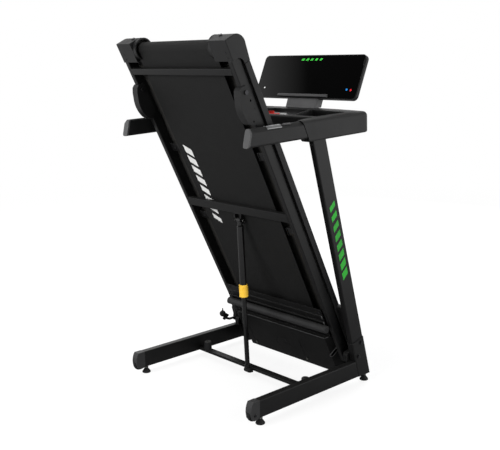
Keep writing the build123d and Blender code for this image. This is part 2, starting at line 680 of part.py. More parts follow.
def deck_bolt():
    """Pivot bolt of an incline foot, and the belt-tension screw at the deck's end."""
    pivot = bar_x(281, 317, hinge_y, hinge_z, pin_r) + hex_x(278, 282.5, hinge_y, hinge_z, bolt_head_r)
    pivot += hex_x(315.5, 320.5, hinge_y, hinge_z, bolt_head_r)
    end = roller_rear_y - cap_r
    screw = bar_y(253, end, roller_rear_y - axle_r, roller_z, 4) + bar_y(253, end - 3, end, roller_z, 7)
    return group(pivot, screw)


def hood_profile(inset):
    """Side outline of the motor hood: it stands on the side rails, and its front wall reaches below them."""
    rear, top, front = -236 + inset, 92 - inset, 92 - inset
    seat, low, step = side_rail_high + 0.5 - inset, -28 - inset, side_rail_front + 4 + inset
    edges = Line((rear, seat), (rear, 43)) + Spline((rear, 43), (-172 + inset, 84 - inset), (-120, top),
                                                    tangents=[(0.75, 0.66), (1, 0)])
    edges += Line((-120, top), (30, top)) + Spline((30, top), (78 - inset, 72 - inset), (front, 40),
                                                   tangents=[(1, 0), (0, -1)])
    edges += Polyline((front, 40), (front, low), (step, low), (step, seat), (rear, seat))
    return make_face(edges)


def hood_block(inset):
    """The hood's volume, its sides rounded over into the top."""
    side = cap_outer - inset
    body = plate_x(hood_profile(inset), -side, side)
    shoulders = body.edges().filter_by(lambda edge: abs(edge.center().X) > side - 1 and edge.center().Z > 42)
    return fillet(shoulders, 18 - inset)


def motor_hood():
    """Moulded hood over the motor, with rounded shoulders and an opening for the running belt behind."""
    hood = hood_block(0) - hood_block(shell_wall)
    hood -= block((-pan_top, pan_top), (side_rail_front + 3, side_rail_front + 8), (-40, side_rail_high - 3))
    hood -= block((-cap_outer + shell_wall, cap_outer - shell_wall), (-260, -230), (-40, 37))
    hood -= block((-264, -236), (80, 100), (0, 20))
    return hood - block((-221, -209), (80, 100), (0, 20))


def mains_inlet():
    """Inlet socket with three pins, and the frame of the power switch."""
    body = block((-264, -236), (74, 92), (0, 20)) + block((-267, -233), (92, 94.5), (-3, 23))
    well = block((-261, -239), (78, 96), (3, 17))
    body -= well
    for x in (-256, -250, -244):
        body += block((x - 1, x + 1), (76, 90), (7, 13))
    frame = block((-221, -209), (74, 92), (0, 20)) + block((-223, -207), (92, 93.5), (-2, 22))
    frame -= block((-220, -210), (76, 96), (1, 19))
    return group(body, frame)


def power_switch():
    """Rocker with two facets, tipped to its off side."""
    facets = Circle(8.7) - polygon((-2.5, -20), (4.6, 0), (2.8, 20), (30, 20), (30, -20))
    return plate_x(Pos(89, 10) * facets, -219.6, -210.4)


def belly_pan():
    """Pressed pan under the motor: a ridged rear plate and a deeper tub with chamfered ends."""
    plate_z = (deck_under - shell_wall, deck_under)
    plate = block((-pan_half, pan_half), (-253, -103), plate_z)
    for y in (-217, -185):
        plate += along_x_ridge(y, plate_z[0])
    outer = polygon((-288, -11), (-262, -49), (262, -49), (288, -11))
    tub = along_y(-106, 88.8, 0, 0, outer)
    slant = 3.6
    inner = polygon((-288 + slant, -10), (-262 + slant / 2, -46), (262 - slant / 2, -46), (288 - slant, -10))
    tub -= along_y(-103, 85.8, 0, 0, inner)
    pan = tub + plate - block((-400, 400), (-105.9, -102), (-31, 0))
    for x in (-227, 92):
        groove = Pos(x, 11, -49) * Rot(0, 0, 90) * extrude(SlotOverall(90, 8), amount=1.2)
        pan -= groove
    ring = Ellipse(40, 50) - Ellipse(36.5, 46.5)
    pan -= Pos(-25, 25, -49) * extrude(ring, amount=1.0)
    wall = Plane(origin=(274, -23, -31.5), x_dir=(24, -27, 35), z_dir=(38, 0, -26))
    return pan - extrude(wall * SlotOverall(56, 14), amount=12, both=True)


def along_x_ridge(y, z):
    """A low rounded ridge across the pan."""
    return Pos(-pan_half, y, z) * Rot(0, 90, 0) * extrude(Ellipse(3, 5), amount=2 * pan_half)


def belly_bar():
    """Thick bumper bar across the pan, flattened where it is seated."""
    bar = Pos(0, -165, -49) * Rot(0, 90, 0) * Cylinder(bar_r, 2 * bar_half)
    bar = chamfer(bar.edges(), 3)
    return bar - block((-400, 400), (-200, -120), (deck_under - shell_wall, 0))


def incline_foot():
    """Bent channel that straddles the side rail and swings about its upper bolt."""
    edges = Polyline((-1130, -57), (-1114, -41), (-1115, -33), (-1133, -11), (-1248, -6), (-1260, -12))
    edges += Polyline((-1260, -12), (-1262, -33), (-1255, -45), (-1238, -54), (-1217, -60.5))
    edges += ThreePointArc((-1217, -60.5), (-1174, -67.5), (-1130, -57))
    outline = make_face(edges)
    below_rail = polygon((-1300, -32), (-1238, -32), (-1100, -56.5), (-1100, -90), (-1300, -90))
    foot = plate_x(outline, 283, 286) + plate_x(outline, 312, 315)
    foot += plate_x((outline - offset(outline, -3)) & below_rail, 286, 312)
    foot -= bar_x(270, 330, hinge_y, hinge_z, pin_r + running)
    for y, z in ((-1203, -17), (-1170, -12.5), (-1130, -36)):
        foot -= bar_x(310, 318, y, z, 4)
    return foot


# ---------------------------------------------------------------- all sub-parts
nodes = {
    "rail_end_caps": both(rail_end_cap),
    "wheel_axles": both(wheel_axle),
    "cross_tube": cross_tube(),
    "buffer_posts": both(buffer_post),
    "strut_base_bracket": strut_base_bracket(),
    "upright_sockets": both(upright_socket),
    "frame_bolts": both(frame_bolt),
    "pivot_bolts": both(pivot_bolt),
    "cord_hook": cord_hook(),
    "console_frame": console_frame(),
    "centre_panel": centre_panel(),
    "neck": neck(),
    "display_housing": display_housing(),
    "display_glass": display_glass(),
    "tablet_ledge": tablet_ledge(),
    "grip_end_caps": both(grip_end_cap),
    "contact_plates": both(contact_plate),
    "safety_key": safety_key(),
    "strut_rod": strut_rod(),
    "strut_cylinder": strut_cylinder(),
    "lock_collar": lock_collar(),
}
deck_nodes = {
    "deck_cross_tubes": deck_cross_tubes(),
    "strut_top_bracket": strut_top_bracket(),
    "deck_board": deck_board(),
    "board_cushions": board_cushions(),
    "running_belt": running_belt(),
    "rear_roller": roller(roller_rear_y),
    "front_roller": front_roller(),
    "roller_axles": roller_axles(),
    "motor": motor(),
    "motor_pulley": motor_pulley(),
    "drive_belt": drive_belt(),
    "foot_rails": both(foot_rail),
    "deck_end_caps": both(deck_end_cap),
    "deck_bolts": both(deck_bolt),
    "motor_hood": motor_hood(),
    "mains_inlet": mains_inlet(),
    "power_switch": power_switch(),
    "belly_pan": belly_pan(),
    "belly_bar": belly_bar(),
}
for side, name in ((1, "right"), (-1, "left")):
    nodes["base_rail_" + name] = base_rail(side)
    nodes["upright_" + name] = upright(side)
    nodes["grip_" + name] = on_side(grip(), side)
    nodes["thumb_key_" + name] = thumb_key(side)
    nodes["wheel_" + name] = transport_wheel(side)
    nodes["foot_rear_" + name] = levelling_foot(side, foot_rear_y)
    nodes["foot_front_" + name] = levelling_foot(side, foot_front_y)
    deck_nodes["side_rail_" + name] = on_side(side_rail(), side)
    deck_nodes["incline_foot_" + name] = on_side(incline_foot(), side)
for name, shape in deck_nodes.items():
    nodes[name] = DECK * shape

os.makedirs("parts", exist_ok=True)
for name, shape in sorted(nodes.items()):
    export_step(shape, f"parts/{name}.step")
print(len(nodes), "sub-parts")
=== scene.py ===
# %% [markdown]
# # A folding treadmill, dressed for the studio
#
# The imported model brings every tube, shell, roller and bolt at its real size, and it is never moved.  This
# lesson gives each of them a finish that reads as the real stuff, adds the small pieces that the solids
# leave out, such as screws, trim and printed bars, and sets a pale studio round it.

# %% Load the frame and keep its parts and joints
import bpy
import bmesh
import json
from math import pi, radians
from mathutils import Matrix, Vector


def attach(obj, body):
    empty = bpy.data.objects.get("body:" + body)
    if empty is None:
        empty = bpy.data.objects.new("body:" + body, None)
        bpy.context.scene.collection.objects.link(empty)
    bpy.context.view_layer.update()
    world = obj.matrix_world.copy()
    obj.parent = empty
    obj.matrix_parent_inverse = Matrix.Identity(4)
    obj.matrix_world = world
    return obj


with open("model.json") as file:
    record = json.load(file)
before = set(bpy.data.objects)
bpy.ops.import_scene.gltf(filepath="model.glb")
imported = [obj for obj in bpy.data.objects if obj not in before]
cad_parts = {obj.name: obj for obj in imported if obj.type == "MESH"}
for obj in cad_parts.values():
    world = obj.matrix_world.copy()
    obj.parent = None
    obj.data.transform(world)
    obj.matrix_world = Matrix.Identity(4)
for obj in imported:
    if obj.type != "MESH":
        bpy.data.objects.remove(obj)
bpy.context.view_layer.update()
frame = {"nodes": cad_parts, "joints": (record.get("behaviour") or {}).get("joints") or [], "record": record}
nodes = frame["nodes"]
bpy.ops.object.select_all(action="DESELECT")

# %% [markdown]
# ## Places that several pieces share
#
# The deck, the uprights and the console each lean by their own angle, so their pieces are drawn level and
# then turned into place by one matrix per assembly.  The deck turns about its joint, which the frame gives;
# the other places and the angles are the ones that the solids were built with.

# %% Frames of deck, console, uprights and display
joint = {entry["name"]: entry for entry in frame["joints"]}
fold_angle = radians(63.15)
upright_lean = radians(16.47)
console_tilt = radians(2.9)
display_lean = radians(22.6)
deck_pivot = Vector(joint["deck_fold"]["pos_m"])
DECK = Matrix.Translation(deck_pivot) @ Matrix.Rotation(-fold_angle, 4, "X")
CONSOLE = Matrix.Translation((0, 0.016, 1.034)) @ Matrix.Rotation(console_tilt, 4, "X")
DISPLAY = Matrix.Translation((0, 0.313, 1.168)) @ Matrix.Rotation(-display_lean, 4, "X")


def upright_place(side):
    """The upright's own frame: its centre line is Z, and X = 0 is the middle of its width."""
    return Matrix.Translation((side * 0.3545, 0.3217, 0)) @ Matrix.Rotation(upright_lean, 4, "X")


# %% [markdown]
# ## The camera
#
# The machine is seen from behind and to its right, a little above the console, with a short telephoto lens,
# as in a catalogue.

# %% Camera
view_azimuth, view_drop, view_roll = radians(46.591), radians(11.328), radians(-0.276)
camera_data = bpy.data.cameras.new("studio_camera")
camera_data.lens = 57.58
camera_data.sensor_width = 36.0
camera = bpy.data.objects.new("studio_camera", camera_data)
camera.location = (2.3449, -2.2131, 1.3078)
turn = Matrix.Rotation(view_azimuth, 3, "Z") @ Matrix.Rotation(pi / 2 - view_drop, 3, "X")
camera.rotation_euler = (turn @ Matrix.Rotation(view_roll, 3, "Z")).to_euler()
bpy.context.collection.objects.link(camera)
bpy.context.scene.camera = camera

# %% [markdown]
# ## Studio: world, floor and lamps
#
# World, floor and finishes are all node trees.  Built by hand each node takes several lines, so five short
# helpers clear a tree, add a node with its inputs, join two sockets, and make the two nodes used most: a
# ramp and a step of arithmetic.


# %% Helpers: a new node tree, a node with its settings, a link
def fresh_tree(owner):
    owner.use_nodes = True
    owner.node_tree.nodes.clear()
    return owner.node_tree


def node(tree, kind, settings=None, **inputs):
    """Add a node, set its properties, and set its inputs by name; an output given as a value is linked."""
    made = tree.nodes.new(kind)
    for name, value in (settings or {}).items():
        setattr(made, name, value)
    for name, value in inputs.items():
        key = int(name[1:]) if name[0] == "i" and name[1:].isdigit() else name.replace("_", " ")
        feed(tree, value, made.inputs[key])
    return made


def feed(tree, value, target):
    """Link an output to an input, or write a plain value into it."""
    if isinstance(value, bpy.types.NodeSocket):
        tree.links.new(value, target)
    else:
        target.default_value = value


def ramp(tree, source, *stops):
    """A colour ramp with grey stops, as (place, grey) pairs, or with colours."""
    made = tree.nodes.new("ShaderNodeValToRGB")
    feed(tree, source, made.inputs[0])
    points = made.color_ramp.elements
    while len(points) < len(stops):
        points.new(0.5)
    for point, (place, tone) in zip(points, stops):
        point.position = place
        point.color = (*tone, 1) if isinstance(tone, tuple) else (tone, tone, tone, 1)
    return made.outputs["Color"]


def maths(tree, kind, *values):
    made = tree.nodes.new("ShaderNodeMath")
    made.operation = kind
    for value, socket in zip(values, made.inputs):
        feed(tree, value, socket)
    return made.outputs[0]


# %% [markdown]
# What shows on a black machine is mostly the reflection of its surroundings.  The world below is plain white
# to the camera and through glass.  Mirror rays see that white only where a studio has its sweep of white
# paper: behind the machine, with a slanted edge that draws the soft diagonal on the display, and at a
# window to the right. Overhead and behind the camera the room stays dark, so black tops and tubes stay
# black between their bright edges.

# %% World
paper_edge = Vector((-0.739, 0.487, -0.471))      # mirror rays on this side of a slanted plane meet the paper
window_side = Vector((0.727, 0.687, 0.0))
world = bpy.data.worlds.new("studio")
bpy.context.scene.world = world
tree = fresh_tree(world)
paths = node(tree, "ShaderNodeLightPath").outputs
direction = node(tree, "ShaderNodeTexCoord").outputs["Generated"]


def towards(tree, direction, axis):
    product = node(tree, "ShaderNodeVectorMath", {"operation": "DOT_PRODUCT"}, i0=direction, i1=axis)
    return product.outputs["Value"]


paper = ramp(tree, towards(tree, direction, paper_edge), (0.0, 0.02), (0.07, 0.75), (0.35, 1.0))
window = ramp(tree, towards(tree, direction, window_side), (0.62, 0.0), (0.92, 1.0))
height = node(tree, "ShaderNodeSeparateXYZ", i0=direction).outputs["Z"]
low_sky = ramp(tree, maths(tree, "ABSOLUTE", height), (0.0, 1.0), (0.62, 0.9), (0.85, 0.05))
mirrored = maths(tree, "MULTIPLY", maths(tree, "MAXIMUM", paper, window), low_sky)
seen = maths(tree, "MAXIMUM", paths["Is Camera Ray"], paths["Is Transmission Ray"])
white_share = maths(tree, "MAXIMUM", seen, maths(tree, "MULTIPLY", mirrored, paths["Is Glossy Ray"]))
dim_strength = maths(tree, "MULTIPLY_ADD", paths["Is Glossy Ray"], -0.33, 0.35)
dim = node(tree, "ShaderNodeBackground", Color=(1, 1, 1, 1), Strength=dim_strength)
white = node(tree, "ShaderNodeBackground", Color=(1, 1, 1, 1), Strength=1.0)
mixed = node(tree, "ShaderNodeMixShader", i0=white_share, i1=dim.outputs[0], i2=white.outputs[0])
node(tree, "ShaderNodeOutputWorld", i0=mixed.outputs[0])
bpy.context.scene.view_settings.view_transform = "Standard"
print("world:", len(tree.nodes), "nodes")

# %% [markdown]
# The floor is a wide round disc that takes the machine's shadow.  Close by it is a plain grey card with
# white added for the camera, so that it doesn't throw light up under the machine.  Farther out it fades to
# the very white of the world, so no horizon shows.

# %% Floor
floor_radius, clear_radius = 9.0, 1.2
bpy.ops.mesh.primitive_circle_add(vertices=96, radius=floor_radius, fill_type="NGON", location=(0, 0, 0))
floor = bpy.context.active_object
floor.name = "floor"
floor_finish = bpy.data.materials.new("floor")
tree = fresh_tree(floor_finish)
coords = node(tree, "ShaderNodeTexCoord").outputs["Object"]
distance = node(tree, "ShaderNodeVectorMath", {"operation": "LENGTH"}, i0=coords).outputs["Value"]
outward = node(tree, "ShaderNodeMapRange", i0=distance, i1=clear_radius, i2=floor_radius - 3.0).outputs[0]
card = ramp(tree, outward, (0.0, 0.15), (1.0, 0.0))
camera_white = ramp(tree, outward, (0.0, 0.84), (0.5, 0.95), (1.0, 1.0))
mirror_white = ramp(tree, outward, (0.0, 0.02), (1.0, 1.0))
paths = node(tree, "ShaderNodeLightPath").outputs
seen = maths(tree, "MAXIMUM", paths["Is Camera Ray"], paths["Is Transmission Ray"])
lift = maths(tree, "ADD", maths(tree, "MULTIPLY", camera_white, seen),
             maths(tree, "MULTIPLY", mirror_white, paths["Is Glossy Ray"]))
matt = node(tree, "ShaderNodeBsdfDiffuse", Color=card)
glow = node(tree, "ShaderNodeEmission", Strength=lift)
both_shaders = node(tree, "ShaderNodeAddShader", i0=matt.outputs[0], i1=glow.outputs[0])
node(tree, "ShaderNodeOutputMaterial", Surface=both_shaders.outputs[0])
floor.data.materials.append(floor_finish)
print("floor radius", floor_radius, "m")


# %% [markdown]
# Four soft lamps have their middles above the console: a large one behind the walker, a tall one at the
# right, a smaller one overhead and a broad one in front, for whoever walks round the machine.  They are
# hidden from mirror rays, which see the paper and the window instead.

# %% Lamps
def soft_lamp(name, place, aim, size, watts):
    lamp_data = bpy.data.lights.new(name, "AREA")
    lamp_data.shape = "RECTANGLE"
    lamp_data.size, lamp_data.size_y = size
    lamp_data.energy = watts
    lamp = bpy.data.objects.new(name, lamp_data)
    lamp.location = place
    lamp.rotation_euler = (Vector(aim) - Vector(place)).to_track_quat("-Z", "Y").to_euler()
    lamp.visible_glossy = False
    bpy.context.collection.objects.link(lamp)
    return lamp


soft_lamp("key", (-0.2, -3.8, 2.2), (0, 0, 0.6), (2.0, 1.6), 190)
soft_lamp("side", (4.0, 0.2, 1.9), (0, 0, 0.6), (1.6, 2.0), 110)
soft_lamp("top", (-0.6, -0.6, 3.8), (0, 0, 0.6), (1.6, 1.6), 60)
soft_lamp("back", (-1.4, 4.0, 1.8), (0, 0, 0.6), (2.4, 1.8), 190)

# %% [markdown]
# ## Effects that many finishes share
#
# Powder coat, moulded plastic, rubber and steel all have a grain, an uneven sheen, edges that handling has
# polished, and a little dust on what faces up.  Each effect is a node group, built once, with its own
# sockets.


# %% Helper: a node group with sockets
def effect(name, inputs, outputs):
    """A shader group; inputs are (name, kind, value), outputs (name, kind).  Returns tree, entry, exit."""
    made = bpy.data.node_groups.new(name, "ShaderNodeTree")
    for label, kind, value in inputs:
        socket = made.interface.new_socket(label, in_out="INPUT", socket_type="NodeSocket" + kind)
        if value is not None:
            socket.default_value = value
    for label, kind in outputs:
        made.interface.new_socket(label, in_out="OUTPUT", socket_type="NodeSocket" + kind)
    return made, made.nodes.new("NodeGroupInput"), made.nodes.new("NodeGroupOutput")


# %% [markdown]
# **Grain.** Two sizes of noise: a fine one for the orange peel of paint or the spark-eroded skin of a
# mould, and a slow one that makes the sheen uneven.

# %% Effect: grain
grain, entry, leave = effect("grain", [("Place", "Vector", None), ("Scale", "Float", 900.0)],
                             [("Height", "Float"), ("Patches", "Float")])
fine = node(grain, "ShaderNodeTexNoise", Vector=entry.outputs["Place"], Scale=entry.outputs["Scale"],
            Detail=2.0).outputs["Fac"]
slow = node(grain, "ShaderNodeTexNoise", Vector=entry.outputs["Place"], Scale=7.0, Detail=4.0,
            Roughness=0.65).outputs["Fac"]
feed(grain, fine, leave.inputs["Height"])
feed(grain, ramp(grain, slow, (0.32, 0.0), (0.68, 1.0)), leave.inputs["Patches"])

# %% [markdown]
# **Edge wear.** A Bevel node bends the normal close to an edge.  Where the bent normal leaves the plain one,
# an edge is near.  The group gives the rounded normal, which catches a thin light on each edge, and a
# broken-up mask.

# %% Effect: edge wear
edges, entry, leave = effect("edge_wear", [("Place", "Vector", None), ("Radius", "Float", 0.0015)],
                             [("Rounded", "Vector"), ("Worn", "Float")])
bent = node(edges, "ShaderNodeBevel", {"samples": 4}, Radius=entry.outputs["Radius"]).outputs["Normal"]
plain = node(edges, "ShaderNodeNewGeometry").outputs["Normal"]
agree = node(edges, "ShaderNodeVectorMath", {"operation": "DOT_PRODUCT"}, i0=bent, i1=plain)
away = ramp(edges, agree.outputs["Value"], (0.72, 1.0), (0.985, 0.0))
broken = node(edges, "ShaderNodeTexNoise", Vector=entry.outputs["Place"], Scale=60.0,
              Detail=5.0).outputs["Fac"]
feed(edges, bent, leave.inputs["Rounded"])
feed(edges, maths(edges, "MULTIPLY", away, ramp(edges, broken, (0.35, 0.15), (0.65, 1.0))),
     leave.inputs["Worn"])

# %% [markdown]
# **Dust.** It settles on what faces up, thicker in some places.  The object's own normal is used, so the
# dust stays where it is when the deck swings down.

# %% Effect: dust
dust, entry, leave = effect("dust", [("Place", "Vector", None), ("Facing", "Vector", None)],
                            [("Film", "Float")])
upward = node(dust, "ShaderNodeSeparateXYZ", i0=entry.outputs["Facing"]).outputs["Z"]
settled = ramp(dust, upward, (0.3, 0.0), (0.95, 1.0))
specks = node(dust, "ShaderNodeTexNoise", Vector=entry.outputs["Place"], Scale=1500.0,
              Detail=3.0).outputs["Fac"]
drift = node(dust, "ShaderNodeTexNoise", Vector=entry.outputs["Place"], Scale=9.0, Detail=3.0).outputs["Fac"]
patchy = maths(dust, "MULTIPLY", ramp(dust, specks, (0.45, 0.1), (0.75, 1.0)), drift)
feed(dust, maths(dust, "MULTIPLY", settled, patchy), leave.inputs["Film"])

# %% [markdown]
# **Turning marks.** Fine streaks of uneven brightness: noise squeezed much more across the streaks than
# along them.

# %% Effect: streaks
streaks, entry, leave = effect("streaks", [("Place", "Vector", None), ("Stretch", "Vector", (900, 60, 60))],
                               [("Mark", "Float")])
pulled = node(streaks, "ShaderNodeVectorMath", {"operation": "MULTIPLY"}, i0=entry.outputs["Place"],
              i1=entry.outputs["Stretch"]).outputs[0]
mark = node(streaks, "ShaderNodeTexNoise", Vector=pulled, Scale=1.0, Detail=3.0).outputs["Fac"]
feed(streaks, ramp(streaks, mark, (0.3, 0.0), (0.7, 1.0)), leave.inputs["Mark"])

# %% [markdown]
# **Belt diamonds.** The walking side of a running belt carries a fine raised lattice with tiny diamonds
# between its ridges, which grips the shoe.  Two crossing waves give it; the belt runs in Y and Z, so the
# waves cross over X and the length of the run.

# %% Effect: belt diamonds
diamonds, entry, leave = effect("belt_diamonds", [("Place", "Vector", None), ("Scale", "Float", 260.0)],
                                [("Height", "Float")])
parts = node(diamonds, "ShaderNodeSeparateXYZ", i0=entry.outputs["Place"])
run = maths(diamonds, "ADD", parts.outputs["Y"], maths(diamonds, "MULTIPLY", parts.outputs["Z"], -1.98))


def crossing(sign):
    slanted = maths(diamonds, "MULTIPLY_ADD", run, 0.45 * sign, parts.outputs["X"])
    return maths(diamonds, "SINE", maths(diamonds, "MULTIPLY", maths(
        diamonds, "MULTIPLY", slanted, entry.outputs["Scale"]), 2 * pi))


feed(diamonds, maths(diamonds, "MAXIMUM", crossing(1), crossing(-1)), leave.inputs["Height"])
print("effects:", [g.name for g in bpy.data.node_groups])

# %% [markdown]
# ## Finishes
#
# A finish starts from one recipe: base colour a little lighter where the edges are worn and where dust
# lies, roughness that wanders between two values, and a normal that goes through the rounded edge and then
# the grain. What differs from one finish to the next is a handful of numbers.


# %% Helper: the common recipe
def place_group(tree, group, **inputs):
    made = tree.nodes.new("ShaderNodeGroup")
    made.node_tree = group
    for name, value in inputs.items():
        feed(tree, value, made.inputs[name])
    return made.outputs


def blend_colour(tree, share, first, second):
    made = tree.nodes.new("ShaderNodeMix")
    made.data_type = "RGBA"
    for value, socket in zip((share, first, second), (made.inputs[0], made.inputs[6], made.inputs[7])):
        feed(tree, value, socket)
    return made.outputs[2]


def finish(name, colour, worn, rough, grain_scale, bump, radius=0.0015, dusty=0.5, metallic=0.0,
           specular=0.5, height=None, stretch=None, coat=0.0):
    """A principled finish with grain, worn edges and dust; returns the material."""
    made = bpy.data.materials.new(name)
    made.diffuse_color = (*colour, 1)
    tree = fresh_tree(made)
    coords = node(tree, "ShaderNodeTexCoord")
    place = coords.outputs["Object"]
    skin = place_group(tree, grain, Place=place, Scale=grain_scale)
    rim = place_group(tree, edges, Place=place, Radius=radius)
    film = place_group(tree, dust, Place=place, Facing=coords.outputs["Normal"])["Film"]
    film = maths(tree, "MULTIPLY", film, dusty)
    darker = tuple(0.72 * part for part in colour)
    tone = blend_colour(tree, skin["Patches"], (*darker, 1), (*colour, 1))
    tone = blend_colour(tree, rim["Worn"], tone, (*worn, 1))
    tone = blend_colour(tree, film, tone, (0.1, 0.098, 0.092, 1))
    gloss = node(tree, "ShaderNodeMapRange", i0=skin["Patches"], i3=rough[0], i4=rough[1]).outputs[0]
    if stretch:
        lines = place_group(tree, streaks, Place=place, Stretch=stretch)["Mark"]
        gloss = maths(tree, "MULTIPLY_ADD", lines, 0.18, gloss)
        tone = blend_colour(tree, maths(tree, "MULTIPLY", lines, 0.35), tone, (*worn, 1))
    gloss = maths(tree, "MULTIPLY_ADD", film, 0.4, gloss)
    relief = node(tree, "ShaderNodeBump", Strength=bump, Distance=0.0002,
                  Height=height(tree, place) if height else skin["Height"], Normal=rim["Rounded"])
    shader = node(tree, "ShaderNodeBsdfPrincipled", Base_Color=tone, Metallic=metallic, Roughness=gloss,
                  Normal=relief.outputs[0])
    shader.inputs["Specular IOR Level"].default_value = specular
    shader.inputs["Coat Weight"].default_value = coat
    shader.inputs["Coat Roughness"].default_value = 0.12
    node(tree, "ShaderNodeOutputMaterial", Surface=shader.outputs[0])
    return made


def belt_height(tree, place):
    return place_group(tree, diamonds, Place=place, Scale=260.0)["Height"]


# %% [markdown]
# The frame is powder coated steel: satin, with a fine orange peel.  The mouldings are a shade greyer and
# rougher. The strut is sprayed with a glossier enamel, and the hardware is blackened or zinc plated steel.

# %% The finishes: one for each slot of the imported model, and four for sub-parts with a tone of their own; the lighter tones of the rail end caps and of the neck are partly painted light
finishes = {
    "frame_paint": finish("frame_paint", (0.006, 0.006, 0.0062), (0.085, 0.085, 0.087), (0.3, 0.42), 1400, 0.35,
                          0.0016, 0.3, specular=0.4),
    "moulding": finish("moulding", (0.01, 0.01, 0.0103), (0.06, 0.06, 0.061), (0.38, 0.52), 2200, 0.5,
                       0.0012, 0.35, specular=0.4),
    "light_moulding": finish("light_moulding", (0.066, 0.066, 0.067), (0.17, 0.17, 0.173), (0.42, 0.55), 1800,
                             0.4, 0.001, 0.4),
    # The neck is a grey moulding, made lighter than its slot's grey: partly its own grey, partly painted light
    # for its rear face, which the key lamp lights.
    "neck_grey": finish("neck_grey", (0.1, 0.1, 0.102), (0.2, 0.2, 0.203), (0.4, 0.52), 1600, 0.35, 0.001, 0.4),
    # The rail end caps' plastic is about three times lighter than the moulding: painted light, for their faces
    # that turn to the key lamp.
    "cap_plastic": finish("cap_plastic", (0.032, 0.032, 0.033), (0.12, 0.12, 0.122), (0.36, 0.5), 2000, 0.4,
                          0.0012, 0.35),
    "bar_plastic": finish("bar_plastic", (0.022, 0.022, 0.0225), (0.1, 0.1, 0.102), (0.36, 0.5), 2000, 0.4,
                          0.0012, 0.35),
    "pan_black": finish("pan_black", (0.004, 0.004, 0.0041), (0.09, 0.09, 0.092), (0.4, 0.52), 1500, 0.35,
                        0.0012, 0.3, specular=0.35),
    "gloss_panel": finish("gloss_panel", (0.012, 0.012, 0.013), (0.05, 0.05, 0.052), (0.12, 0.2), 300, 0.04,
                          0.0006, 0.25, coat=0.6),
    "display_glass": finish("display_glass", (0.0005, 0.0005, 0.0005), (0.03, 0.03, 0.032), (0.03, 0.05), 90,
                            0.01, 0.0005, 0.03),
    "contact_metal": finish("contact_metal", (0.74, 0.75, 0.76), (0.85, 0.85, 0.86), (0.18, 0.3), 700, 0.08,
                            0.0006, 0.1, metallic=1.0, stretch=(60, 1600, 1600)),
    "belt": finish("belt", (0.01, 0.01, 0.01), (0.04, 0.04, 0.04), (0.6, 0.72), 900, 0.7, 0.0006, 0.3,
                   specular=0.3, height=belt_height),
    "board": finish("board", (0.02, 0.02, 0.0195), (0.06, 0.056, 0.05), (0.5, 0.62), 500, 0.2, 0.0008, 0.4,
                    stretch=(40, 900, 900)),
    "roller_steel": finish("roller_steel", (0.46, 0.46, 0.47), (0.7, 0.7, 0.71), (0.22, 0.36), 600, 0.1,
                           0.0006, 0.2, metallic=1.0, stretch=(1500, 40, 40)),
    "bolt_steel": finish("bolt_steel", (0.07, 0.07, 0.074), (0.34, 0.34, 0.35), (0.25, 0.38), 900, 0.15,
                         0.0006, 0.3, metallic=0.9),
    "zinc": finish("zinc", (0.5, 0.5, 0.47), (0.72, 0.71, 0.66), (0.24, 0.4), 260, 0.15, 0.0006, 0.3,
                   metallic=1.0),
    "rubber": finish("rubber", (0.014, 0.014, 0.0145), (0.045, 0.045, 0.045), (0.6, 0.75), 700, 0.5, 0.001, 0.8,
                     specular=0.3),
    "strut_paint": finish("strut_paint", (0.005, 0.005, 0.0052), (0.07, 0.07, 0.072), (0.16, 0.24), 1100, 0.12,
                          0.0008, 0.3, coat=0.3),
    "collar_yellow": finish("collar_yellow", (1.0, 0.6, 0.055), (1.0, 0.78, 0.3), (0.3, 0.42), 1600, 0.2,
                            0.0008, 0.3),
    "key_red": finish("key_red", (0.55, 0.02, 0.015), (0.8, 0.2, 0.15), (0.25, 0.35), 1500, 0.15, 0.0008, 0.2),
    "motor_body": finish("motor_body", (0.03, 0.03, 0.033), (0.16, 0.16, 0.17), (0.35, 0.5), 500, 0.3, 0.001,
                         0.5),
}
slot_of = {part["node"]: part["material_slot"] for part in frame["record"]["subparts"]}
# The rail end caps and the neck take the finishes that carry painted light.
slot_of.update(neck="neck_grey", rail_end_caps="cap_plastic", belly_bar="bar_plastic", belly_pan="pan_black")
for name, piece in nodes.items():
    piece.data.materials.clear()
    piece.data.materials.append(finishes[slot_of[name]])
print(len(finishes), "finishes on", len(nodes), "sub-parts")

# %% [markdown]
# ## How the added pieces are made
#
# Each piece starts as a primitive at its size and place in the frame of its own assembly.  It is shaped in
# edit mode, where faces and edges are picked by where they lie, and at the end its mesh is turned into the
# machine's frame, so that the object itself stays at the origin.  Seven short helpers do the steps that
# repeat.


# %% Helpers: start, pick, settle, repeat
def started(name):
    """The primitive just added, named, with its size and place written into the mesh."""
    piece = bpy.context.active_object
    piece.name = name
    bpy.ops.object.transform_apply()
    return piece


def box(name, low, high):
    bpy.ops.object.select_all(action="DESELECT")
    low, high = Vector(low), Vector(high)
    bpy.ops.mesh.primitive_cube_add(size=1.0, location=(low + high) / 2, scale=high - low)
    return started(name)


def barrel(name, radius, low, high, centre=(0, 0), axis="Z", sides=48):
    """A cylinder along an axis from a low to a high place; the centre gives the two other coordinates."""
    bpy.ops.object.select_all(action="DESELECT")
    middle, turn = (low + high) / 2, {"Z": (0, 0, 0), "X": (0, pi / 2, 0), "Y": (pi / 2, 0, 0)}[axis]
    place = {"Z": (*centre, middle), "X": (middle, *centre), "Y": (centre[0], middle, centre[1])}[axis]
    bpy.ops.mesh.primitive_cylinder_add(vertices=sides, radius=radius, depth=high - low, location=place,
                                        rotation=turn)
    return started(name)


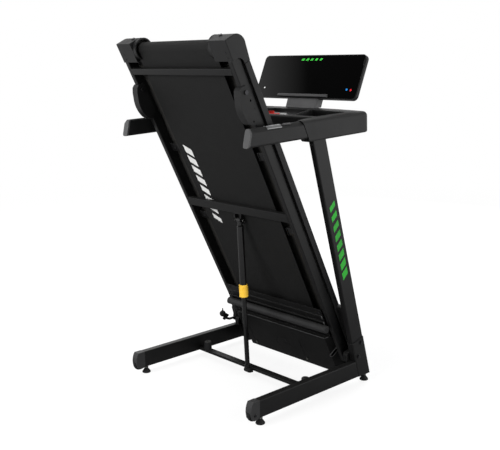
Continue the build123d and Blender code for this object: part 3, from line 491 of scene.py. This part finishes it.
def pick(piece, kind, test):
    """In edit mode, select the faces or edges whose middle (and, for faces, normal) pass a test."""
    bpy.ops.object.mode_set(mode="EDIT")
    bpy.ops.mesh.select_mode(type={"faces": "FACE", "edges": "EDGE"}[kind])
    bpy.ops.mesh.select_all(action="DESELECT")
    mesh = bmesh.from_edit_mesh(piece.data)
    for part in getattr(mesh, kind):
        if kind == "faces":
            part.select_set(test(part.calc_center_median(), part.normal))
        else:
            part.select_set(test((part.verts[0].co + part.verts[1].co) / 2,
                                 (part.verts[1].co - part.verts[0].co).normalized()))
    mesh.select_flush_mode()
    bmesh.update_edit_mesh(piece.data)


def rounded(piece, width, segments=3, angle=30):
    """Bevel every edge sharper than an angle, with a modifier that is applied, and shade it smooth."""
    bpy.ops.object.mode_set(mode="OBJECT")
    bpy.ops.object.select_all(action="DESELECT")
    piece.select_set(True)
    bpy.context.view_layer.objects.active = piece
    bevel = piece.modifiers.new("bevel", "BEVEL")
    bevel.width, bevel.segments, bevel.angle_limit = width, segments, radians(angle)
    bpy.ops.object.modifier_apply(modifier="bevel")
    bpy.ops.object.shade_smooth_by_angle(angle=radians(angle))


def settle(piece, place, finish_name, body):
    """Turn the mesh into the machine's frame, give the piece its finish and let it ride on a body."""
    if piece.mode == "EDIT":
        bpy.ops.object.mode_set(mode="OBJECT")
    piece.data.transform(place)
    piece.data.update()
    piece.data.materials.clear()
    piece.data.materials.append(finishes[finish_name])
    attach(piece, body)
    piece.select_set(False)
    return piece


def repeat(piece, name, move, body):
    """A copy with its own mesh, moved by a matrix of the machine's frame."""
    twin = piece.copy()
    twin.data = piece.data.copy()
    twin.name = name
    bpy.context.collection.objects.link(twin)
    twin.data.transform(move)
    if move.determinant() < 0:
        twin.data.flip_normals()
    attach(twin, body)
    return twin


shift = Matrix.Translation
mirrored_side = Matrix.Scale(-1, 4, (1, 0, 0))
print("helpers ready")

# %% [markdown]
# ## Roller guards
#
# Inboard of each deck end cap, a short barrel shields the edge of the belt where it runs round the rear
# roller.  It is a cylinder whose inset end faces are deleted and whose two inner rims are bridged, so it is
# open.  Its wall is cut into rings and every second one is drawn in.  That takes the rings between along,
# as they share their edges, so the wall ends up smooth, with a low flare at each end.

# %% Roller guards
guard_low, guard_high, guard_radius = 0.2097, 0.2277, 0.0418
guard_wall, guard_rings = 0.0065, 9
roller_y, roller_z = -1.395, 0.010


def roller_guard():
    guard = barrel("roller_guard_right", guard_radius, guard_low, guard_high, (roller_y, roller_z), "X", 72)
    pick(guard, "edges", lambda middle, way: abs(way.x) > 0.9)
    bpy.ops.mesh.subdivide(number_cuts=guard_rings - 1)
    ring = (guard_high - guard_low) / guard_rings

    def in_groove(middle, normal):
        return abs(normal.x) < 0.5 and int((middle.x - guard_low) / ring) % 2 == 1

    pick(guard, "faces", in_groove)
    bpy.ops.transform.resize(value=(1, 0.968, 0.968), center_override=(0, roller_y, roller_z))
    pick(guard, "faces", lambda middle, normal: abs(normal.x) > 0.9)
    bpy.ops.mesh.inset(thickness=guard_wall)
    bpy.ops.mesh.delete(type="FACE")

    def on_inner_rim(middle, way):
        from_axis = Vector((0, middle.y - roller_y, middle.z - roller_z)).length
        return abs(from_axis - guard_radius + guard_wall) < 0.0006

    pick(guard, "edges", on_inner_rim)
    bpy.ops.mesh.bridge_edge_loops()
    bpy.ops.mesh.select_all(action="SELECT")
    bpy.ops.mesh.normals_make_consistent(inside=False)
    rounded(guard, 0.0004, 2)
    return settle(guard, DECK, "moulding", "deck")


guard_right = roller_guard()
repeat(guard_right, "roller_guard_left", mirrored_side, "deck")
print("roller guards: radius", guard_radius)

# %% [markdown]
# ## Brackets of the board
#
# Four pressed brackets tie the board to the side rails.  Each is a flat plate with a flange turned up
# against the rail and a lip turned down at its free end.  Both are extruded from a strip that a cut across
# the plate marks off.

# %% Board brackets
plate_low, plate_high, plate_inner, plate_outer = -0.006, -0.003, 0.233, 0.2898
strip_width, bracket_places = 0.003, (-0.960, -0.620)


def board_bracket(middle_y):
    plate = box("board_bracket_right", (plate_inner, middle_y - 0.0175, plate_low),
                (plate_outer, middle_y + 0.0175, plate_high))
    for cut in (plate_inner + strip_width, plate_outer - strip_width):
        bpy.ops.object.mode_set(mode="EDIT")
        bpy.ops.mesh.select_all(action="SELECT")
        bpy.ops.mesh.bisect(plane_co=(cut, 0, 0), plane_no=(1, 0, 0))
    pick(plate, "faces", lambda middle, normal: normal.z > 0.9 and middle.x > plate_outer - strip_width)
    bpy.ops.mesh.extrude_region_move(TRANSFORM_OT_translate={"value": (0, 0, 0.0125)})
    pick(plate, "faces", lambda middle, normal: normal.z < -0.9 and middle.x < plate_inner + strip_width)
    bpy.ops.mesh.extrude_region_move(TRANSFORM_OT_translate={"value": (0, 0, -0.004)})
    rounded(plate, 0.0008, 2)
    return settle(plate, DECK, "frame_paint", "deck")


for number, middle_y in enumerate(bracket_places, 1):
    bracket = board_bracket(middle_y)
    bracket.name = f"board_bracket_{number}_right"
    repeat(bracket, f"board_bracket_{number}_left", mirrored_side, "deck")
print("board brackets: 4")

# %% [markdown]
# ## Screws
#
# For each group of screws, one socket head is modelled and then copied to its spots.  The head is a short
# cylinder; its top is inset and pushed down for the socket, and its rim is rounded.

# %% A socket screw, and where it goes
def screw_head(radius, height):
    head = barrel("screw_model", radius, 0.0, height, sides=28)
    pick(head, "faces", lambda middle, normal: normal.z > 0.9)
    bpy.ops.mesh.inset(thickness=radius * 0.45)
    bpy.ops.mesh.extrude_region_move(TRANSFORM_OT_translate={"value": (0, 0, -height * 0.55)})
    rounded(head, radius * 0.14, 3)
    return head


def facing(direction):
    """Turn +Z to a direction."""
    return Vector(direction).to_track_quat("Z", "Y").to_matrix().to_4x4()


def screws(name, radius, height, finish_name, body, place, spots):
    """Copies of a screw at spots, ((x, y, z), direction), of an assembly's frame."""
    model = screw_head(radius, height)
    for number, (spot, direction) in enumerate(spots, 1):
        twin = model.copy()
        twin.data = model.data.copy()
        twin.name = f"{name}_{number}"
        bpy.context.collection.objects.link(twin)
        settle(twin, place @ shift(spot) @ facing(direction), finish_name, body)
    bpy.data.objects.remove(model)
    print(name, number)


down, up, ahead = (0, 0, -1), (0, 0, 1), (0, 1, 0)
cap_spots = [((side * 0.2957, y, -0.031), down) for side in (1, -1) for y in (-1.3905, -1.3695)]
screws("end_cap_screw", 0.0032, 0.0012, "bolt_steel", "deck", DECK, cap_spots)
pan_spots = [((x, y, z), down) for x, y, z in ((-0.221, 0.0666, -0.049), (0.097, 0.064, -0.049))]
screws("pan_bolt", 0.0058, 0.003, "zinc", "deck", DECK, pan_spots)
edge_spots = [((side * 0.272, y, -0.034), down) for side in (1, -1) for y in (-0.238, -0.123)]
screws("pan_screw", 0.0045, 0.0022, "bolt_steel", "deck", DECK, edge_spots)
bracket_spots = [((side * 0.262, y, plate_low), down) for side in (1, -1) for y in bracket_places]
screws("bracket_screw", 0.0055, 0.003, "bolt_steel", "deck", DECK, bracket_spots)
hood_spots = [((side * 0.318, y, 0.030), (side, 0, 0)) for side in (1, -1) for y in (-0.205, -0.020)]
screws("hood_screw", 0.005, 0.0018, "bolt_steel", "deck", DECK, hood_spots)
rail_spots = [((side * 0.274, y, 0.041), up) for side in (1, -1) for y in (-1.300, -0.785, -0.270)]
screws("foot_rail_screw", 0.0045, 0.0015, "bolt_steel", "deck", DECK, rail_spots)
display_spots = [((x, 0.020, z), ahead) for x in (-0.24, 0.24) for z in (0.035, 0.16)]
screws("display_screw", 0.004, 0.0012, "bolt_steel", "base", DISPLAY, display_spots)
console_spots = [((x, y, -0.002), down) for x in (-0.28, -0.12, 0.12, 0.28) for y in (0.07, 0.24)]
screws("console_screw", 0.0042, 0.0012, "bolt_steel", "base", CONSOLE, console_spots)

# %% [markdown]
# ## Lock nuts of the levelling feet
#
# A thin hexagonal nut sits on each foot's cone.  A six-sided cylinder is drilled by deleting its inset end
# faces and bridging the two rims.

# %% Lock nuts
def lock_nut(name, x, y, body):
    nut = barrel(name, 0.0095, 0.0222, 0.0256, (x, y), sides=6)
    pick(nut, "faces", lambda middle, normal: abs(normal.z) > 0.9)
    bpy.ops.mesh.inset(thickness=0.0031)
    bpy.ops.mesh.delete(type="FACE")
    pick(nut, "edges",
         lambda middle, way: abs(way.z) < 0.1 and (middle - Vector((x, y, middle.z))).length < 0.0065)
    bpy.ops.mesh.bridge_edge_loops()
    rounded(nut, 0.0004, 2)
    settle(nut, Matrix.Identity(4), "zinc", body)


for end, foot_y in (("rear", -0.283), ("front", 0.328)):
    for side, foot_x in (("right", 0.355), ("left", -0.355)):
        lock_nut(f"lock_nut_{end}_{side}", foot_x, foot_y, f"foot_{end}_{side}")
print("lock nuts: 4")

# %% [markdown]
# ## Printed stripes
#
# The belt's return run, the right upright and the display carry plain rows of slanted bars, printed in
# white and green.  Print is smooth and even, so its finishes have hardly any grain.  The small lamps get
# theirs here too.

# %% Finishes of prints and lamps
finishes["white_print"] = finish("white_print", (0.82, 0.82, 0.81), (0.5, 0.5, 0.5), (0.45, 0.6), 1500, 0.2,
                                 0.0003, 0.1)
finishes["green_print"] = finish("green_print", (0.03, 0.42, 0.035), (0.02, 0.2, 0.02), (0.35, 0.5), 1500, 0.15,
                                 0.0003, 0.1)
finishes["blue_light"] = finish("blue_light", (0.02, 0.3, 0.85), (0.1, 0.5, 1.0), (0.15, 0.25), 900, 0.05,
                                0.0003, 0.02)
finishes["red_light"] = finish("red_light", (0.85, 0.012, 0.03), (1.0, 0.2, 0.2), (0.15, 0.25), 900, 0.05,
                               0.0003, 0.02)
print(len(finishes), "finishes")

# %% [markdown]
# Ink has next to no height, so each bar is a box two or three tenths of a millimetre thick, leaned over by
# moving one of its sides.  The steps are even, and each bar is a little shorter than the one before it.

# %% Rows of slanted bars
def bar_row(name, low, high, thin, slant, start, end, count, axis, finish_name, body, place, fill=0.72):
    """Bars across a strip: low and high bound the strip, thin is the print's thickness range."""
    step = (end - start) / count
    for number in range(count):
        near = start + step * number
        far = near + step * (fill - 0.03 * number)
        corners = {"Y": ((low, near, thin[0]), (high, far, thin[1])),
                   "Z": ((thin[0], low, near), (thin[1], high, far)),
                   "X": ((near, thin[0], low), (far, thin[1], high))}[axis]
        piece = box(f"{name}_{number + 1}", *corners)
        across = {"Y": 0, "Z": 1, "X": 2}[axis]
        along = {"Y": 1, "Z": 2, "X": 0}[axis]
        pick(piece, "faces", lambda middle, normal: normal[across] > 0.9)
        move = [0, 0, 0]
        move[along] = slant
        bpy.ops.transform.translate(value=move)
        settle(piece, place, finish_name, body)
    print(name, count)


bar_row("belt_stripe", -0.190, -0.147, (-0.01515, -0.01495), 0.022, -0.985, -0.600, 8, "Y", "white_print",
        "deck", DECK)
bar_row("upright_stripe", -0.016, 0.017, (0.01245, 0.01265), 0.018, 0.490, 0.828, 8, "Z", "green_print",
        "base", upright_place(1))
bar_row("display_stripe", 0.169, 0.179, (-0.0002, 0.0001), 0.005, -0.066, 0.064, 5, "X", "green_print",
        "base", DISPLAY, 0.6)

# %% [markdown]
# ## Display marks and rim
#
# The dark display shows three small lamps near its lower corners, and its glass is held by a thin raised
# rim.  The rim is a plate with rounded corners, whose two faces are inset and removed.  The pick of the
# inner edges for the bridge also takes edges at the four corners, so the rim is not a closed mesh.

# %% Display rim and lamps
def display_lamp(name, x, z, size, finish_name):
    lamp = barrel(name, size, -0.0004, 0.0001, (x, z), "Y", 24)
    pick(lamp, "faces", lambda middle, normal: normal.y < -0.9)
    bpy.ops.mesh.inset(thickness=size * 0.3, depth=0.0002)
    settle(lamp, DISPLAY, finish_name, "base")


display_lamp("lamp_blue", 0.231, 0.042, 0.0045, "blue_light")
display_lamp("lamp_red", 0.252, 0.040, 0.0045, "red_light")
display_lamp("lamp_white", -0.243, 0.043, 0.004, "white_print")
rim = box("display_rim", (-0.288, -0.0006, 0.0), (0.288, 0.002, 0.194))
pick(rim, "edges", lambda middle, way: abs(way.y) > 0.9)
bpy.ops.mesh.bevel(offset=0.02, segments=10)
pick(rim, "faces", lambda middle, normal: abs(normal.y) > 0.9)
bpy.ops.mesh.inset(thickness=0.0032)
bpy.ops.mesh.delete(type="FACE")
pick(rim, "edges",
     lambda middle, way: abs(way.y) < 0.1 and abs(middle.x) < 0.2852 and 0.0031 < middle.z < 0.1909)
bpy.ops.mesh.bridge_edge_loops()
bpy.ops.mesh.select_all(action="SELECT")
bpy.ops.mesh.normals_make_consistent(inside=False)
rounded(rim, 0.0004, 2)
settle(rim, DISPLAY, "moulding", "base")
print("display rim and lamps")

# %% [markdown]
# ## Tray mats
#
# Ribbed rubber mats lie in the two side trays.  A mat could be a textured plane, but its ribs catch light,
# so it is a thin plate with the tray's slanted outline: a box, its inner side slanted by moving one edge,
# cut into strips from which every second one is extruded up.

# %% Tray mats
mat_low, mat_high, rib_height = 0.0402, 0.0418, 0.0012
mat_inner, mat_outer, mat_slant = 0.1315, 0.305, 0.0705
mat_rear, mat_front, mat_length, mat_strips = 0.054, 0.206, 0.152, 12


def tray_mat():
    mat = box("tray_mat_right", (mat_inner, mat_rear, mat_low), (mat_outer, mat_front, mat_high))
    pick(mat, "edges", lambda middle, way: abs(way.z) > 0.9 and middle.x < 0.2 and middle.y < 0.1)
    bpy.ops.transform.translate(value=(mat_slant, 0, 0))
    for number in range(1, mat_strips):
        bpy.ops.mesh.select_all(action="SELECT")
        cut = mat_rear + mat_length * number / mat_strips
        bpy.ops.mesh.bisect(plane_co=(0, cut, 0), plane_no=(0, 1, 0))

    def on_rib(middle, normal):
        return normal.z > 0.9 and int((middle.y - mat_rear) / (mat_length / mat_strips)) % 2 == 1

    pick(mat, "faces", on_rib)
    bpy.ops.mesh.extrude_region_move(TRANSFORM_OT_translate={"value": (0, 0, rib_height)})
    rounded(mat, 0.0004, 2)
    return settle(mat, CONSOLE, "rubber", "base")


mat_right = tray_mat()
repeat(mat_right, "tray_mat_left", mirrored_side, "base")
print("tray mats:", len(mat_right.data.polygons), "faces each")

# %% [markdown]
# ## Weld beads
#
# Where tube meets tube, a bead of weld runs along each seam that shows.  It is a round bar laid along the
# seam; its wall is cut into rings and every second edge ring is drawn in a little, which gives the ripples
# that a welder's hand leaves.

# %% Weld beads
def weld_bead(name, axis, low, high, centre, place, body, radius=0.0019):
    bead = barrel(name, radius, low, high, centre, axis, 10)
    along = "XYZ".index(axis)
    rings = max(6, int((high - low) / 0.0022))
    pick(bead, "edges", lambda middle, way: abs(way[along]) > 0.9)
    bpy.ops.mesh.subdivide(number_cuts=rings)
    bpy.ops.object.mode_set(mode="OBJECT")
    middle = Vector((0, 0, 0))
    for index, value in zip([number for number in range(3) if number != along], centre):
        middle[index] = value
    step = (high - low) / (rings + 1)
    for vertex in bead.data.vertices:
        ring = round((vertex.co[along] - low) / step)
        middle[along] = vertex.co[along]
        end = ring in (0, rings + 1)
        vertex.co = middle + (vertex.co - middle) * (0.35 if end else 0.8 if ring % 2 else 1.0)
    bpy.ops.object.select_all(action="DESELECT")
    bead.select_set(True)
    bpy.context.view_layer.objects.active = bead
    bpy.ops.object.shade_smooth_by_angle(angle=radians(50))
    return settle(bead, place, "frame_paint", body)


level = Matrix.Identity(4)
tube_rear, tube_front, tube_middle, tube_top, floor_rail_inner = 0.006, 0.040, 0.032, 0.042, 0.3402
for number, y in enumerate((tube_rear, tube_front), 1):
    bead = weld_bead(f"cross_weld_{number}_right", "Z", tube_middle, tube_top, (floor_rail_inner, y), level,
                     "base")
    repeat(bead, f"cross_weld_{number}_left", mirrored_side, "base")
bead = weld_bead("cross_weld_top_right", "Y", tube_rear, tube_front, (floor_rail_inner, tube_top), level,
                 "base")
repeat(bead, "cross_weld_top_left", mirrored_side, "base")
deck_tubes, side_rail_inner, seam_z = ((-1.330, -1.304), (-0.725, -0.685)), 0.2898, -0.0172
for number, (low, high) in enumerate(deck_tubes, 1):
    bead = weld_bead(f"deck_weld_{number}_right", "Y", low, high, (side_rail_inner, seam_z), DECK, "deck")
    repeat(bead, f"deck_weld_{number}_left", mirrored_side, "deck")
    for end, y in (("low", low), ("high", high)):
        bead = weld_bead(f"deck_weld_{number}_{end}_right", "Z", -0.029, -0.018, (side_rail_inner, y), DECK,
                         "deck")
        repeat(bead, f"deck_weld_{number}_{end}_left", mirrored_side, "deck")
print("weld beads done")

# %% [markdown]
# ## Trim of the pan
#
# The pan's slot has a folded rim, and at the right ends of its two ridges small tabs are turned out.  The
# rim is a flat plate with fully rounded ends, whose two inset faces are removed.  Here too the pick for the
# bridge takes some edges of the round ends, so this rim is not a closed mesh either.

# %% Slot rim
slot_length, slot_width, rim_width, rim_height = 0.060, 0.0175, 0.0028, 0.0016
slot_middle = (0.274, -0.023, -0.0315)
outward = Vector((38, 0, -26)).normalized()
along_slot = Vector((24, -27, 35)).normalized()
across_slot = outward.cross(along_slot)
slot_turn = Matrix((along_slot, across_slot, outward)).transposed().to_4x4()
slot_place = shift(slot_middle) @ slot_turn
slot_rim = box("slot_rim", (-slot_length / 2, -slot_width / 2, 0.0),
               (slot_length / 2, slot_width / 2, rim_height))
pick(slot_rim, "edges", lambda middle, way: abs(way.z) > 0.9)
bpy.ops.mesh.bevel(offset=slot_width * 0.48, segments=8)
pick(slot_rim, "faces", lambda middle, normal: abs(normal.z) > 0.9)
bpy.ops.mesh.inset(thickness=rim_width)
bpy.ops.mesh.delete(type="FACE")
inner_x, inner_y = slot_length / 2 - rim_width * 0.6, slot_width / 2 - rim_width * 0.6
pick(slot_rim, "edges",
     lambda middle, way: abs(way.z) < 0.1 and abs(middle.x) < inner_x and abs(middle.y) < inner_y)
bpy.ops.mesh.bridge_edge_loops()
bpy.ops.mesh.select_all(action="SELECT")
bpy.ops.mesh.normals_make_consistent(inside=False)
rounded(slot_rim, 0.0004, 2)
# The rim is real trim, but its light grey moulding is a painted highlight: it stands for the bright edge round
# the slot.
settle(slot_rim, DECK @ slot_place, "light_moulding", "deck")
print("slot rim:", len(slot_rim.data.polygons), "faces")

# %% [markdown]
# A ridge tab is a short block with its end face extruded outward and down, and drawn in.  The hem is a thin
# round bar along the pan's rear edge, whose two ends are extruded up the slanted walls.

# %% Ridge tabs and hem
hem_radius, hem_half, hem_rise = 0.0012, 0.262, (0.026, 0.038)


def ridge_tab(name, y):
    tab = box(name, (0.2755, y - 0.006, -0.0372), (0.2822, y + 0.006, -0.0345))
    pick(tab, "faces", lambda middle, normal: normal.x > 0.9)
    bpy.ops.mesh.extrude_region_move(TRANSFORM_OT_translate={"value": (0.0035, 0, -0.006)})
    bpy.ops.transform.resize(value=(1, 0.7, 0.6), center_override=(0.2857, y, -0.042))
    rounded(tab, 0.0006, 2)
    # The tab's light grey moulding is a painted highlight for the bright end of the ridge.
    settle(tab, DECK, "light_moulding", "deck")


for number, y in enumerate((-0.217, -0.185), 1):
    ridge_tab(f"ridge_tab_{number}", y)
hem = barrel("pan_hem", hem_radius, -hem_half, hem_half, (-0.1062, -0.0492), "X", 10)
for side in (1, -1):
    pick(hem, "faces", lambda middle, normal: normal.x * side > 0.9)
    rise = (hem_rise[0] * side, 0, hem_rise[1])
    bpy.ops.mesh.extrude_region_move(TRANSFORM_OT_translate={"value": rise})
rounded(hem, 0.0003, 2)
# The hem's light grey moulding is a painted highlight along the pan's rear edge.
settle(hem, DECK, "light_moulding", "deck")
print("pan trim done")

# %% [markdown]
# ## Rubber strip, neck cover and circlips
#
# A soft strip along the ledge keeps a tablet from sliding; like the mats it is cut into short fields, of
# which every second one is raised.  The neck is closed by a shallow cover plate, whose rounded outline is
# inset and sunk.

# %% Ledge strip and neck cover
strip_half, strip_field, strip_fields = 0.136, 0.008, 34
strip = box("ledge_strip", (-strip_half, -0.0058, 0.0111), (strip_half, -0.0008, 0.0122))
for number in range(1, strip_fields):
    bpy.ops.object.mode_set(mode="EDIT")
    bpy.ops.mesh.select_all(action="SELECT")
    bpy.ops.mesh.bisect(plane_co=(-strip_half + strip_field * number, 0, 0), plane_no=(1, 0, 0))
pick(strip, "faces",
     lambda middle, normal: normal.z > 0.9 and int((middle.x + strip_half) / strip_field) % 2 == 1)
bpy.ops.mesh.extrude_region_move(TRANSFORM_OT_translate={"value": (0, 0, 0.0006)})
rounded(strip, 0.0002, 2)
settle(strip, DISPLAY, "rubber", "base")
NECK = CONSOLE @ Matrix.Translation((0, 0.309, 0.080)) @ Matrix.Rotation(radians(-22.9), 4, "X")
cover = box("neck_cover", (-0.074, 0.0188, 0.010), (0.074, 0.0202, 0.112))
pick(cover, "edges", lambda middle, way: abs(way.y) > 0.9)
bpy.ops.mesh.bevel(offset=0.008, segments=5)
pick(cover, "faces", lambda middle, normal: normal.y > 0.9)
bpy.ops.mesh.inset(thickness=0.004)
bpy.ops.mesh.extrude_region_move(TRANSFORM_OT_translate={"value": (0, -0.0006, 0)})
rounded(cover, 0.0003, 2)
# The cover takes the neck's grey, with the same painted light.
settle(cover, NECK, "neck_grey", "base")
print("ledge strip and neck cover")

# %% [markdown]
# Two circlips stand at the ends of the strut's upper pin.  Each is a ring with a gap, made by spinning a
# small oblong section most of the way round; welding its doubled vertices closes the seam between the
# steps.

# %% Circlips of the strut's upper pin
def circlip(name, x, place, body, radius=0.0062):
    clip = box(name, (x, radius - 0.0009, -0.0006), (x + 0.001, radius + 0.0009, 0.0006))
    pick(clip, "faces", lambda middle, normal: normal.z > 0.9)
    bpy.ops.mesh.spin(steps=22, angle=radians(305), center=(x, 0, 0), axis=(1, 0, 0))
    bpy.ops.mesh.select_all(action="SELECT")
    bpy.ops.mesh.remove_doubles(threshold=0.00002)
    bpy.ops.mesh.normals_make_consistent(inside=False)
    rounded(clip, 0.0002, 2)
    return settle(clip, place, "zinc", body)


strut_top = DECK @ Vector((0, -0.653, -0.031))
for name, x in (("strut_clip_right", 0.0225), ("strut_clip_left", -0.0235)):
    circlip(name, x, Matrix.Translation(strut_top), "strut_cylinder")
print("circlips: 2")

# %% [markdown]
# ## Plugs and vents
#
# Rectangular plugs close the front ends of the deck's side rails, and rows of slots let the motor breathe
# at the hood's front.  Each slot is drawn as a flat bar with round ends, its middle pushed in.

# %% Rail plugs and hood vents
plug = box("rail_plug_right", (0.291, 0.0182, -0.030), (0.309, 0.0205, 0.010))
pick(plug, "faces", lambda middle, normal: normal.y > 0.9)
bpy.ops.mesh.inset(thickness=0.003)
bpy.ops.mesh.extrude_region_move(TRANSFORM_OT_translate={"value": (0, -0.0012, 0)})
rounded(plug, 0.0005, 2)
settle(plug, DECK, "moulding", "deck")
repeat(plug, "rail_plug_left", mirrored_side, "deck")


vent_half, vent_half_height, vent_columns, vent_rows = 0.030, 0.0028, 4, 3


def hood_vent(name, x, z):
    vent = box(name, (x - vent_half, 0.0908, z - vent_half_height),
               (x + vent_half, 0.0928, z + vent_half_height))
    pick(vent, "edges", lambda middle, way: abs(way.y) > 0.9)
    bpy.ops.mesh.bevel(offset=0.0026, segments=4)
    pick(vent, "faces", lambda middle, normal: normal.y > 0.9)
    bpy.ops.mesh.inset(thickness=0.0009)
    bpy.ops.mesh.extrude_region_move(TRANSFORM_OT_translate={"value": (0, -0.0012, 0)})
    rounded(vent, 0.0002, 2)
    settle(vent, DECK, "moulding", "deck")


for column in range(vent_columns):
    for row in range(vent_rows):
        hood_vent(f"hood_vent_{column + 1}_{row + 1}", -0.10 + 0.07 * column, -0.018 + 0.012 * row)
print("rail plugs and", vent_columns * vent_rows, "vents")
